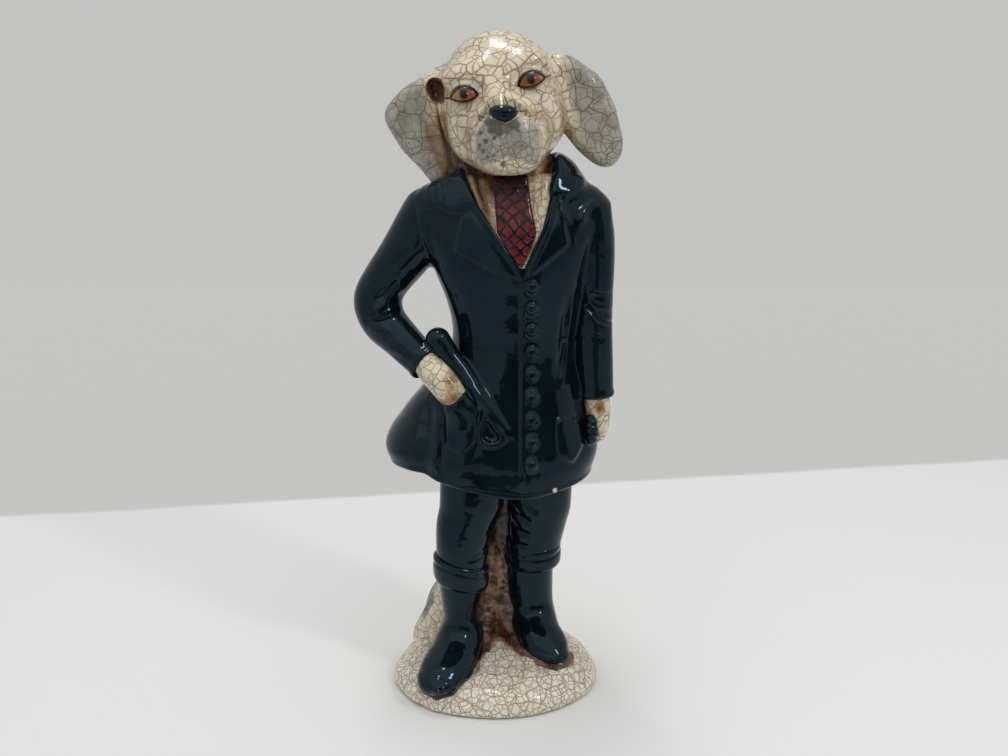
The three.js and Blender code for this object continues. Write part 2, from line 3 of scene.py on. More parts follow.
import bpy
import numpy as np
import openvdb as vdb
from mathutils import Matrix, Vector


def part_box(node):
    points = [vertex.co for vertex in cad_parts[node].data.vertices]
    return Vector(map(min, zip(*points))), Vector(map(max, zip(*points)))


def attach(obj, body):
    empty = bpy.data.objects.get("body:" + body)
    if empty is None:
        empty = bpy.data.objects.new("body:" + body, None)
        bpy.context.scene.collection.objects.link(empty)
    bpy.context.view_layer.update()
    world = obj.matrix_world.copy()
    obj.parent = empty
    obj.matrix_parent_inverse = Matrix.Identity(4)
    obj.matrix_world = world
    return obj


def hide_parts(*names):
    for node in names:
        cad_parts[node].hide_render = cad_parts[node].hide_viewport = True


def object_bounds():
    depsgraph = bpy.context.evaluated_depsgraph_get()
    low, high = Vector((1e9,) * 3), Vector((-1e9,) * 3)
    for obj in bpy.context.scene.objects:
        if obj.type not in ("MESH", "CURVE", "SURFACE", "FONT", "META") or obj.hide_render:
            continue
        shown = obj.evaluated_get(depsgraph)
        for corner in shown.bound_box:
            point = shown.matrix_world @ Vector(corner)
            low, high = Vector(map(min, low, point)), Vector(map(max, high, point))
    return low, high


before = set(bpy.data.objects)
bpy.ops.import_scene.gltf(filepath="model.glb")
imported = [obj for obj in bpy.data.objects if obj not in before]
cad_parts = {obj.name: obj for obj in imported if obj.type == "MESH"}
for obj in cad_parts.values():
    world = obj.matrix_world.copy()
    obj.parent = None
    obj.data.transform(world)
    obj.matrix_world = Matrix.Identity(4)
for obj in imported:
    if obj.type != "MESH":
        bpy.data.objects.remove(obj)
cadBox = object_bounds()
print("frame loaded,", len(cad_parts), "nodes")

coarse = 1.0  # larger grid cells while trying things
metre = 1000.0  # the clay is worked in millimetres


# clay: signed distances on a regular grid, negative inside


class Clay:
    def __init__(self, low, counts, cell):
        self.low, self.counts, self.cell = np.array(low, float), np.array(counts), cell
        steps = [self.low[a] + cell * np.arange(self.counts[a]) for a in range(3)]
        self.x, self.y, self.z = np.meshgrid(*[s.astype("f4") for s in steps], indexing="ij", sparse=True)
        self.field = None

    def at(self, points):  # values at points, between the grid's
        place = (points - self.low) / self.cell
        place = np.clip(place, 0, self.counts - 1.001)
        i = place.astype(int)
        f = place - i
        total = 0
        for corner in range(8):
            o = [(corner >> a) & 1 for a in range(3)]
            w = np.prod([f[:, a] if o[a] else 1 - f[:, a] for a in range(3)], axis=0)
            total = total + w * self.field[i[:, 0] + o[0], i[:, 1] + o[1], i[:, 2] + o[2]]
        return total

    def slope(self, points):
        half = self.cell * 0.75
        sides = np.eye(3) * half
        return np.stack([(self.at(points + s) - self.at(points - s)) / (2 * half) for s in sides], axis=1)

    def take(self, other):  # another lump's distances on this grid
        values = other.field
        for axis, steps in enumerate((self.x, self.y, self.z)):
            place = np.clip((steps.ravel() - other.low[axis]) / other.cell, 0, other.counts[axis] - 1.001)
            i = place.astype(int)
            f = (place - i).astype("f4")
            f = f.reshape([-1 if a == axis else 1 for a in range(3)])
            values = np.take(values, i, axis) * (1 - f) + np.take(values, i + 1, axis) * f
        return values

    def seat(self, other, reach, sink=0.2):  # glaze runs up in a fillet to what stands on it
        near = join(self.field, self.take(other) + sink, reach)
        self.field = np.maximum(near, self.field - 0.8 * reach)


def clayBetween(low, high, cell):
    cell = cell * coarse
    return Clay(low, np.ceil((high - low) / cell).astype(int) + 1, cell)


def clayFor(nodes, cell, room=4.0):
    boxes = np.array([[list(corner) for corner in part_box(n)] for n in nodes]) * metre
    return clayBetween(boxes[:, 0].min(axis=0) - room, boxes[:, 1].max(axis=0) + room, cell)


def join(a, b, reach):
    h = np.maximum(reach - np.abs(a - b), 0) / reach
    return np.minimum(a, b) - h * h * reach * 0.25


def trim(a, b, reach):
    return -join(-a, -b, reach)


def between(c, field, low, high):  # cut off below low and above high
    return np.maximum(np.maximum(field, c.z - high), low - c.z)


def bell(away, width):
    return np.exp(-((away / width) ** 2))


def melt(field, cell, spread):
    spread = spread / cell
    reach = int(math.ceil(3 * spread))
    taps = np.exp(-0.5 * (np.arange(-reach, reach + 1) / spread) ** 2)
    taps /= taps.sum()
    for axis in range(field.ndim):
        if field.shape[axis] == 1:
            continue
        wide = np.pad(field, [(reach, reach) if a == axis else (0, 0) for a in range(field.ndim)],
                      mode="edge")
        count = field.shape[axis]
        field = sum(t * wide[(slice(None),) * axis + (slice(k, k + count),)] for k, t in enumerate(taps))
    return field.astype("f4")


def even(raw, cell):  # makes a level function into distances near its surface
    parts = np.gradient(raw, cell)
    return (raw / np.maximum(np.sqrt(sum(p * p for p in parts)), 0.25)).astype("f4")


def along(z, keys, values):  # smooth curve through values at keys
    keys, values = np.array(keys, float), np.array(values, float)
    slopes = np.empty_like(values)
    slopes[1:-1] = (values[2:] - values[:-2]) / (keys[2:] - keys[:-2])
    slopes[0] = (values[1] - values[0]) / (keys[1] - keys[0])
    slopes[-1] = (values[-1] - values[-2]) / (keys[-1] - keys[-2])
    z = np.clip(z, keys[0], keys[-1])
    i = np.clip(np.searchsorted(keys, z, side="right") - 1, 0, len(keys) - 2)
    span = keys[i + 1] - keys[i]
    t = (z - keys[i]) / span
    rise = values[i + 1] - values[i]
    a, b = slopes[i] * span, slopes[i + 1] * span
    return (values[i] + t * (a + t * ((a + b - 2 * rise) * t + 3 * rise - 2 * a - b))).astype("f4")


def curve(points, count):
    p = np.array(points, float)
    ends = np.vstack([2 * p[0] - p[1], p, 2 * p[-1] - p[-2]])
    t = np.linspace(0, len(p) - 1, count)
    i = np.minimum(t.astype(int), len(p) - 2)
    f = (t - i)[:, None]
    a, b, c, d = (ends[i + k] for k in range(4))
    return 0.5 * (2 * b + (c - a) * f + (2 * a - 5 * b + 4 * c - d) * f**2 + (3 * b - a - 3 * c + d) * f**3)


def limb(c, stops, count=26):  # stops: x, y, z, radius, and a height radius where it is oval
    path = curve(stops, count)
    field = np.full(tuple(c.counts), 80, "f4")
    for p, q in zip(path[:-1].astype("f4"), path[1:].astype("f4")):
        line = q[:3] - p[:3]
        px, py, pz = c.x - p[0], c.y - p[1], c.z - p[2]
        t = np.clip((px * line[0] + py * line[1] + pz * line[2]) / line.dot(line), 0, 1)
        px, py, pz = px - t * line[0], py - t * line[1], pz - t * line[2]
        across = p[3] + t * (q[3] - p[3])
        if len(p) == 4:
            away = np.sqrt(px * px + py * py + pz * pz) - across
        else:
            up = p[4] + t * (q[4] - p[4])
            away = (np.sqrt((px * px + py * py) / across**2 + pz * pz / up**2) - 1) * np.minimum(across, up)
        np.minimum(field, away, out=field)
    return field


def ball(x, y, z, middle, radii):
    px, py, pz = ((v - m) / r for v, m, r in zip((x, y, z), middle, radii))
    far = np.sqrt(px * px + py * py + pz * pz)
    steep = np.sqrt((px / radii[0]) ** 2 + (py / radii[1]) ** 2 + (pz / radii[2]) ** 2)
    return far * (far - 1) / np.maximum(steep, 1e-5)


def upright(c, sections, square=2.0, lift=0.0):  # sections: z, half-width, half-depth, x, y; no ends
    keys = [s[0] for s in sections]
    a, b, x, y = (along(c.z - lift, keys, [s[k] for s in sections]) for k in (1, 2, 3, 4))
    away = (np.abs((c.x - x) / a) ** square + np.abs((c.y - y) / b) ** square) ** (1 / square)
    return even((away - 1) * np.minimum(a, b), c.cell)


def outline(x, z, points):  # distance to a closed outline seen from the front
    best, inside = np.full(np.broadcast_shapes(x.shape, z.shape), 1e6, "f4"), False
    points = np.array(points, "f4")
    for (ax, az), (bx, bz) in zip(points, np.roll(points, -1, axis=0)):
        ex, ez, wx, wz = bx - ax, bz - az, x - ax, z - az
        t = np.clip((wx * ex + wz * ez) / (ex * ex + ez * ez), 0, 1)
        best = np.minimum(best, (wx - t * ex) ** 2 + (wz - t * ez) ** 2)
        crossing = ((az > z) != (bz > z)) & (wx < ex * wz / (ez if abs(ez) > 1e-6 else 1e-6))
        inside = inside ^ crossing
    return np.where(inside, -1, 1) * np.sqrt(best)


def stroke(x, z, points, count=24):  # distance to an open line, and the share of its length
    path = curve(points, count).astype("f4")
    best = np.full(np.broadcast_shapes(x.shape, z.shape), 1e6, "f4")
    share = np.zeros_like(best)
    for k, ((ax, az), (bx, bz)) in enumerate(zip(path[:-1], path[1:])):
        ex, ez, wx, wz = bx - ax, bz - az, x - ax, z - az
        t = np.clip((wx * ex + wz * ez) / (ex * ex + ez * ez), 0, 1)
        away = (wx - t * ex) ** 2 + (wz - t * ez) ** 2
        share = np.where(away < best, (k + t) / (count - 1), share)
        best = np.minimum(best, away)
    return np.sqrt(best), share


def crease(x, z, points, depth, width):  # a groove, or a ridge where depth is negative
    away, share = stroke(x, z, points)
    taper = np.clip(np.minimum(share, 1 - share) * 5, 0, 1)
    return depth * bell(away, width) * taper * taper * (3 - 2 * taper)


def creases(c, rows):  # rows: line seen from the front, depth, width
    return sum(crease(c.x, c.z, *row) for row in rows)


def lumps(x, y, z, size, seed, count=9):  # smooth unevenness between about -1 and 1
    draw = np.random.default_rng(seed)
    total = 0
    for _ in range(count):
        k = draw.normal(size=3)
        k *= 2 * math.pi / size / np.linalg.norm(k) * draw.uniform(0.7, 1.4)
        total = total + np.sin(k[0] * x + k[1] * y + k[2] * z + draw.uniform(0, 6.3)).astype("f4")
    return total / math.sqrt(count)


def step(value, low, high):
    t = np.clip((value - low) / (high - low), 0, 1)
    return t * t * (3 - 2 * t)


lump = {}  # every lump by the node it stands for


# mound

moundSizes = dict(
    cell=0.9, halfWidth=50.0, halfDepth=39.5, height=17.0, hollow=5.0,
    drain=7.0, drainBehind=18.0, drainTop=9.0, drainRound=1.5, hollowRound=1.2,
    crownMelt=2.2, wallShare=0.95, rimRound=2.0, footRound=1.6, uneven=0.22, unevenSize=22,
    top=[(0, 1), (0.12, 1), (0.4, 0.94), (0.7, 0.79), (0.9, 0.57), (0.975, 0.42), (1, 0.26), (1.3, -4)],
    side=[(0, 0.94), (0.12, 0.985), (0.26, 1), (1, 1)],
    # the back stands higher
    behind=[(0, 0), (0.12, 0), (0.4, 0.07), (0.7, 0.17), (0.9, 0.25), (0.975, 0.2), (1, 0.1), (1.3, 0)],
)


def moundBody(c):
    m = moundSizes
    reach = np.sqrt((c.x / m["halfWidth"]) ** 2 + (c.y / m["halfDepth"]) ** 2)
    back = np.maximum(c.y / m["halfDepth"] / np.maximum(reach, 0.05), 0)
    top = np.interp(reach, *zip(*m["top"])) + back * np.interp(reach, *zip(*m["behind"]))
    side = np.interp(c.z / m["height"], *zip(*m["side"])).astype("f4")
    crown = even(c.z - melt((m["height"] * top).astype("f4"), c.cell, m["crownMelt"]), c.cell)
    wall = (reach - side) * m["halfDepth"] * m["wallShare"]
    body = trim(crown, wall, m["rimRound"]) + m["uneven"] * lumps(c.x, c.y, 0 * c.z, m["unevenSize"], 3)
    return trim(body, -c.z, m["footRound"])


c = clayFor(["mound"], moundSizes["cell"])
c.field = moundBody(c)
hollow = np.maximum(c.field + moundSizes["hollow"], moundSizes["hollow"] - c.z)
drain = np.hypot(c.x, c.y - moundSizes["drainBehind"]) - moundSizes["drain"]
drain = np.maximum(drain, c.z - moundSizes["drainTop"])
c.field = trim(c.field, -join(hollow, drain, moundSizes["drainRound"]), moundSizes["hollowRound"])
lump["mound"] = c
print("mound shaped")


# boots, soles, cuffs and breeches

legSizes = dict(
    right=dict(
        foot=[(-16.2, 0.5, 23.4, 9.0, 7.2), (-19.6, -10.5, 20.6, 11.0, 6.2),
              (-23.4, -20.2, 17.2, 11.2, 5.6), (-25.8, -26.6, 13.6, 8.2, 4.8)],
        shaft=[(15, 8.8, 10.0, -16.4, -1), (33, 8.0, 9.0, -16.7, -1), (47, 10.2, 10.2, -15.9, -1),
               (62, 11.0, 11.0, -15.9, -1)],
        cuff=dict(x=-16.2, y=-1.0, radius=13.3, low=50.6, high=64.3, tilt=-0.22, fold=3.6),
        leg=[(52, 11.0, 11.0, -16.2, -1), (66, 12.3, 12.0, -15.3, -0.6), (73, 12.9, 12.4, -14.8, 0),
             (81.5, 14.1, 12.8, -13.2, 0.8), (90, 15.0, 13.2, -10.8, 1.5), (122, 15.0, 13.4, -10.0, 2)],
        creases=[([(4, 90), (0, 83), (-3.5, 76)], 0.7, 1.3), ([(-1, 73), (-6, 70), (-12, 69.5)], 0.5, 1.2),
                 ([(-2, 69.5), (-7, 67.2), (-14, 66.8)], 0.6, 1.0)],
        welt=0.9, lip=[], outward=-1,
    ),
    left=dict(
        foot=[(16.6, 14.5, 24.0, 8.8, 8.0), (20.6, 4.3, 23.4, 10.0, 7.8), (24.3, -2.9, 20.4, 10.2, 6.4),
              (27.6, -8.2, 18.2, 7.0, 4.7)],
        shaft=[(15, 11.0, 11.0, 16.9, 14), (28, 10.9, 10.8, 17.3, 14), (40, 11.3, 10.8, 16.5, 14),
               (62, 11.6, 11.2, 16.6, 14)],
        cuff=dict(x=18.2, y=14.0, radius=13.8, low=53.6, high=66.4, tilt=0.06, fold=4.4),
        leg=[(52, 11.6, 11.4, 16.8, 14), (66, 13.7, 12.6, 18.0, 13.2), (77, 14.3, 12.8, 19.9, 12),
             (86, 15.4, 13.2, 20.7, 11.4), (122, 15.2, 13.4, 21.6, 11)],
        creases=[([(5.5, 90), (12, 84), (18, 80)], 0.9, 1.3), ([(7, 80), (12, 76), (18, 74)], 0.7, 1.2),
                 ([(4, 73), (9, 69.5), (17, 68)], 0.8, 1.1), ([(12, 90), (17, 86), (21, 84)], -0.5, 1.6)],
        welt=2.0, lip=[(8.6, 2.0), (11.6, -3.2), (15.6, -7.3), (22.7, -11.0), (31.2, -11.2), (35.2, -6.5)],
        outward=1,
    ),
    bootCell=0.6, soleCell=0.5, cuffCell=0.55, legCell=0.7,
    shaftEnds=(17, 58), legEnds=(55, 114), ankle=7.0, rimOver=(1.5, 0.6), rimRound=1.8, rimSeam=1.3,
    sole=1.6, flange=3.4, soleOver=1.5, soleRound=1.4, soleUneven=0.45,
    lip=2.5, lipRise=1.6, lipMiddle=14, lipHalf=12,
)
cuffSizes = dict(
    wave=0.25, narrowing=0.6, foldWave=0.8, foldDepth=0.6, foldWidth=0.7, edge=1.0, rounding=3.0,
    gathers=3, gatherStep=2.5, gatherLean=0.55, gatherBelow=4.0, gatherDepth=0.5, gatherWidth=0.8,
)


def grown(stops, across, up):
    return [(x, y, z, a + across, u + up) for x, y, z, a, u in stops]


for side in ("right", "left"):
    leg, s = legSizes[side], legSizes
    out = leg["outward"]

    c = clayFor([side + "_boot"], s["bootCell"])
    ground = c.take(lump["mound"])
    shaft = between(c, upright(c, leg["shaft"]), *s["shaftEnds"])
    upper = join(limb(c, leg["foot"]), shaft, s["ankle"])
    rim = trim(limb(c, grown(leg["foot"], *s["rimOver"])), ground - s["sole"] - s["flange"], s["rimRound"])
    boot = melt(join(upper, rim, s["rimSeam"]), c.cell, 0.7)
    c.field = trim(boot, s["sole"] - ground, 0.9)
    lump[side + "_boot"] = c

    c = clayFor([side + "_sole"], s["soleCell"], 3)
    ground = c.take(lump["mound"])
    spread = s["soleOver"] + leg["welt"]
    foot = limb(c, grown(leg["foot"], spread, spread))
    rise = 0
    if leg["lip"]:  # the brown edge runs on from the stump's root
        lip = limb(c, [(x, y, s["lipMiddle"], s["lip"], s["lipHalf"]) for x, y in leg["lip"]])
        foot = join(foot, lip, 1.5)
        rise = s["lipRise"] * step(1.5 - lip, 0, 2)
    foot = foot + s["soleUneven"] * lumps(c.x, c.y, c.z, 9, 11)
    slab = trim(ground - s["sole"] - 0.2 - rise, -ground - 0.6, 0.6)
    c.field = trim(melt(foot, c.cell, 0.7), slab, s["soleRound"])
    lump[side + "_sole"] = c

    c = clayFor([side + "_cuff"], s["cuffCell"])
    cuff, k = leg["cuff"], cuffSizes
    px, py = c.x - cuff["x"], c.y - cuff["y"]
    tilted = c.z - cuff["tilt"] * px
    swing = np.arctan2(py, px)
    band = np.hypot(px, py) - cuff["radius"] + k["wave"] * np.sin(3 * swing + 1.2 * out)
    band = band + k["narrowing"] * step(cuff["high"] - tilted, 8, 15)
    fold = cuff["high"] - cuff["fold"] + k["foldWave"] * np.sin(2 * swing + 0.7 * out)
    band = band + k["foldDepth"] * bell(tilted - fold, k["foldWidth"])
    inner = step(np.cos(swing) * -out, 0.2, 0.9) * step(-np.sin(swing), -0.3, 0.4)
    for i in range(k["gathers"]):  # small gathers at the inner end
        slope = tilted - fold + k["gatherStep"] * i + k["gatherLean"] * out * px
        band = band + k["gatherDepth"] * inner * bell(slope + k["gatherBelow"], k["gatherWidth"])
    ends = trim(tilted - cuff["high"], cuff["low"] - tilted, k["edge"])
    c.field = melt(trim(band, ends, k["rounding"]), c.cell, 0.5)
    lump[side + "_cuff"] = c

    c = clayFor([side + "_leg"], s["legCell"])
    front = step(leg["shaft"][0][4] - c.y, -4, 4)
    c.field = between(c, upright(c, leg["leg"]) + front * creases(c, leg["creases"]), *s["legEnds"])
    lump[side + "_leg"] = c
print("legs shaped")


# stump

stumpSizes = dict(
    cell=0.65, top=112.0, groove=0.9, sunk=3.0,  # how far it goes into the mound
    middle=(-2, 20), rootJoin=5.0, grooveTurns=4, grooveLength=9, grooveSize=2.2,
    knot=0.45, knotSize=5.5, swell=0.8,
    sections=[(5, 36, 15, -6, 20.5), (15, 35.5, 14.5, -6, 20.5), (25, 32, 13, -4, 20.5),
              (38, 28.5, 12, -3, 20.5), (50, 19, 10.5, -0.5, 20), (64, 13, 9.5, 2.5, 18.5),
              (117, 12, 9, 4.5, 17)],
    roots=[  # beside the inner edges of the soles
        [(-6.5, 13, 33, 6.5), (-6.8, 6.5, 24.5, 4.8), (-5.4, -1.0, 19.0, 3.0), (-5.0, -8.0, 17.0, 2.0),
         (-6.4, -15.0, 15.4, 1.3)],
        [(6.0, 14, 33, 6.0), (7.6, 8.8, 23.8, 4.6), (9.6, 2.8, 19.2, 3.4), (13.4, -3.6, 16.9, 2.5),
         (18.5, -9.0, 15.3, 1.8)],
    ],
)
c, s = clayFor(["stump"], stumpSizes["cell"], 14), stumpSizes
c.field = upright(c, s["sections"])
for root in s["roots"]:
    c.field = join(c.field, limb(c, root), s["rootJoin"])
swing = np.arctan2(c.y - s["middle"][1], c.x - s["middle"][0])
turns = [s["grooveTurns"] * f(swing) for f in (np.cos, np.sin)]
wave = lumps(*turns, c.z / s["grooveLength"], s["grooveSize"], 21, 14)
knots = lumps(c.x, c.y, c.z, s["knotSize"], 22, 12)
c.field = c.field + s["groove"] * np.abs(wave) + s["knot"] * np.abs(knots) - s["swell"]
c.field = between(c, melt(c.field, c.cell, 0.55), s["sunk"], s["top"])
c.field = np.maximum(c.field, -moundBody(c) - s["sunk"])
lump["stump"] = c
print("stump shaped")


# coat

coatSizes = dict(
    cell=0.7, square=2.2, hem=102.0, top=243.0, wall=4.5, recess=7.0, hemRound=1.4, topRound=3.0,
    lip=dict(rise=0.35, above=1.3, width=1.1), hemFade=[(102, 1), (117, 0.55), (134, 0)],
    frontFrom=5, backFrom=7, sideFade=9,
    flap=dict(rise=0.4, edge=(12.7, 13.3), end=(24, 10), top=(200, 5)),  # the front that laps over
    shoulder=[(-60, 205), (-38.5, 227), (-34.6, 233), (-31, 236.8), (-27, 239.2), (-22, 241.4), (-14, 245),
              (0, 252), (60, 282)],
    sections=[  # z, half-width, half-depth, x, y
        (102, 45.5, 33, -1, 6), (117, 49, 33, -1.2, 6), (134, 43, 29.5, 0.3, 6), (148, 35.5, 25.5, 4, 5),
        (160, 29, 22, 7.5, 4.5), (172, 27.4, 20.5, 9, 4), (186, 29.5, 22, 9, 4), (201, 34, 23.5, 8, 4),
        (220, 39.5, 22, 7, 5), (233.5, 39, 18, 7, 6), (239.5, 32, 15.5, 7.5, 6), (243, 22, 14, 7.5, 6),
    ],
    hemLine=[(-50, 110.6), (-41, 112.4), (-31, 112.0), (-24, 109.8), (-8, 105.6), (4, 103.2), (15, 102.3),
             (32, 104.4), (47, 106.4)],
    frontCreases=[  # line seen from the front, depth, width
        ([(-21.2, 147), (-21.7, 137), (-22.2, 127), (-23.5, 109)], 1.3, 1.5),
        ([(-27.0, 146), (-29.0, 128), (-31.8, 105)], 1.9, 3.8),
        ([(-24.0, 143), (-25.0, 128), (-26.6, 110)], -0.5, 2.0),
        ([(-14.5, 128), (-14, 118), (-15, 108)], -0.5, 4.0),
        ([(35.5, 196), (33.9, 178), (32.0, 160), (30, 148)], -1.1, 1.6),
        ([(31.6, 190), (30.4, 172), (28.2, 155)], 0.8, 1.7),
        ([(29.0, 171.6), (33, 171.4), (37, 170.2)], 0.9, 0.8),
        ([(26, 200), (25, 185), (24, 172), (24, 158)], 0.35, 2.2),
        ([(-25, 207), (-19.5, 192), (-14.5, 176), (-13, 160)], -0.55, 2.2),
        ([(-31.5, 232), (-30.6, 222), (-28, 213), (-24.6, 205)], -1.2, 1.2),
        ([(-33.6, 230), (-32.4, 222), (-30, 213), (-26.6, 205)], 0.6, 1.0),
        ([(47, 229), (41.5, 210), (38, 195)], 0.7, 1.2),
        ([(40, 236), (33, 235.4), (30.3, 233), (30, 229), (31.2, 225.6), (34, 221)], -1.3, 1.4),
        ([(46.6, 231.3), (42, 229.6), (39, 226), (38.4, 220)], -1.1, 1.6),
        ([(12.9, 202), (12.9, 170), (12.7, 135), (12.6, 99)], -0.65, 0.75),
    ],
    backCreases=[
        ([(7, 237), (7.5, 200), (6, 165), (1, 135), (-1, 100)], 0.55, 0.6),
        ([(-12, 150), (-15, 130), (-18, 100)], 1.5, 3.0),
        ([(16, 150), (17, 130), (18, 100)], 1.5, 3.0),
        ([(-4, 152), (-6, 130), (-8, 100)], -0.9, 3.2),
        ([(7, 152), (8, 130), (9, 100)], -0.9, 3.2),
    ],
)


def coatHem(x):
    return along(x, *zip(*coatSizes["hemLine"]))


def coatBody(c):
    s = coatSizes
    lift = (coatHem(c.x) - s["hem"]) * np.interp(c.z, *zip(*s["hemFade"])).astype("f4")
    body = upright(c, s["sections"], s["square"], lift)
    front = step(s["frontFrom"] - c.y, 0, s["sideFade"])
    back = step(c.y - s["backFrom"], 0, s["sideFade"])
    flap = s["flap"]
    lap = step(c.x, *flap["edge"]) * step(flap["end"][0] - c.x, 0, flap["end"][1])
    lap = flap["rise"] * lap * step(flap["top"][0] - c.z, 0, flap["top"][1])
    return body + front * (creases(c, s["frontCreases"]) - lap) + back * creases(c, s["backCreases"])


c, s = clayFor(["coat"], coatSizes["cell"], 5), coatSizes
hem = coatHem(c.x)
body = coatBody(c) - s["lip"]["rise"] * bell(c.z - hem - s["lip"]["above"], s["lip"]["width"])
under = np.maximum(body + s["wall"], c.z - hem - s["recess"])
c.field = trim(trim(body, hem - c.z, s["hemRound"]), c.z - s["top"], s["topRound"])
c.field = trim(c.field, -under, 1.0)
lump["coat"] = c
print("coat shaped")


# pieces that lie on the coat: outlines seen from the front, as x and z

sheetSizes = dict(
    cell=0.55, tieCell=0.5, under=1.6, behind=6.0, handJoin=6.0,
    lapel=dict(rise=1.6, roll=0.9, rollWidth=1.7, grooveAt=3.1, grooveWidth=0.8),
    tieMiddle=[(204, 12.7), (219, 10.7), (230, 9.1), (243, 7.9)],
    tieHalf=[(204, 2.5), (219, 8.4), (230, 7.8), (243, 7.4)],
    tieRise=1.2, tieBulge=1.3, knot=dict(rise=0.9, z=240, width=3.2), shirtRise=0.75,
    shirtFolds=[
        ([(-9, 243), (-6.5, 236), (-3, 229)], 1.3, 1.3), ([(-4.6, 243), (-3, 236), (-1, 228)], 0.9, 1.1),
        ([(24, 243), (22, 235), (20, 226)], 0.7, 1.6),
    ],
    rightLapel=[(-13.5, 242), (-4.8, 229.3), (2.1, 219.1), (11.9, 205), (13, 199.2), (-0.7, 204),
                (-16.1, 211.8), (-12.7, 226.5)],
    leftLapel=[(28, 242), (24.2, 231), (21.4, 221), (13.9, 205), (13.6, 199.4), (22.5, 205.5),
               (33.1, 213.8), (30, 228.5)],
    rightRoll=[(-16, 246), (-4.8, 229.3), (2.1, 219.1), (11.9, 205), (14, 199)],
    leftRoll=[(29.0, 251), (25.0, 232), (21.4, 221), (13.9, 205), (13.2, 199)],
    shirt=[(-14.5, 243), (-6, 229.3), (1, 219.1), (11.5, 204.4), (14.4, 204.4), (22.6, 221), (25.4, 231),
           (29, 243)],
    tie=[(0.6, 243), (1.4, 229.7), (2.4, 219.5), (7.5, 211), (12.6, 204.6), (16, 211), (19, 219.3),
         (16.9, 229.7), (15.2, 243)],
    rightPocket=[(-21.4, 145.6), (-18.2, 145.2), (-14.6, 147.9), (-12.3, 151.6), (-8, 148), (-6.3, 143.9),
                 (-6.2, 136), (-8, 128), (-13, 124.5), (-19.5, 125.5), (-21, 132)],
    hand=[(-20, -18.8, 151, 7.4), (-15.5, -19.2, 144, 7.2), (-13.8, -19, 136, 5.6),
          (-13.4, -18.6, 130, 4.2)],
    leftPocket=[(27.5, 138.6), (40, 135), (40, 123.5), (35, 116.2), (28.4, 122.5)],
)


def sheet(name, shape, lift, rounding, smoothing=0.7, room=4.0):  # a flat layer pressed on the coat
    s = sheetSizes
    c = clayFor([name], s["tieCell"] if name == "tie" else s["cell"], room)
    body = coatBody(c)
    edge = melt(outline(c.x, c.z, s[shape]), c.cell, smoothing)
    top = body - (lift(c) if callable(lift) else lift)
    if name == "right_pocket":  # swollen over the hand inside it
        top = join(top, limb(c, s["hand"]), s["handJoin"])
    c.field = trim(edge + 0 * top, top, rounding)
    c.field = np.maximum(np.maximum(c.field, -body - s["under"]), c.y - s["behind"])
    lump[name] = c


def lapelLift(roll, groove):
    def lift(c):
        k = sheetSizes["lapel"]
        away, _ = stroke(c.x, c.z, sheetSizes[roll])
        rise = k["rise"] + k["roll"] * bell(away, k["rollWidth"])
        return rise - groove * bell(away - k["grooveAt"], k["grooveWidth"])
    return lift


def tieLift(c):
    s, knot = sheetSizes, sheetSizes["knot"]
    middle, half = (np.interp(c.z, *zip(*s[k])).astype("f4") for k in ("tieMiddle", "tieHalf"))
    bulge = np.sqrt(np.clip(1 - ((c.x - middle) / (half + 1)) ** 2, 0, 1))
    return s["tieRise"] + s["tieBulge"] * bulge + knot["rise"] * bell(c.z - knot["z"], knot["width"])


def shirtLift(c):
    return sheetSizes["shirtRise"] + creases(c, sheetSizes["shirtFolds"])


sheet("right_lapel", "rightLapel", lapelLift("rightRoll", 0.25), 1.7)
sheet("left_lapel", "leftLapel", lapelLift("leftRoll", 0.55), 1.7)
sheet("shirt_front", "shirt", shirtLift, 1.0)
sheet("tie", "tie", tieLift, 1.2, 0.5)
sheet("right_pocket", "rightPocket", 1.0, 1.6, 1.2, 9)
sheet("left_pocket", "leftPocket", 1.35, 1.5, 1.6)
print("lapels, shirt, tie and pockets shaped")


# buttons

buttonSizes = dict(
    count=9, x=17.1, top=196.6, spacing=9.7, radius=3.2, rise=1.8, cell=0.33,
    dome=0.8, brim=1.2, seam=0.1, rounding=0.6, under=1.2,
)
buttonNames = ["coat_button_%d" % (i + 1) for i in range(buttonSizes["count"])]
for i, name in enumerate(buttonNames):
    s = buttonSizes
    c = clayFor([name], s["cell"], 2.5)
    body = coatBody(c)
    away = np.hypot(c.x - s["x"], c.z - s["top"] + i * s["spacing"]) / s["radius"]
    dome = s["rise"] * np.exp(-((away / s["dome"]) ** 4))
    rim = trim((away - s["brim"]) * s["radius"], body - s["seam"] - dome, s["rounding"])
    c.field = np.maximum(rim, -body - s["under"])
    lump[name] = c


# sleeves, paws, crop and glove

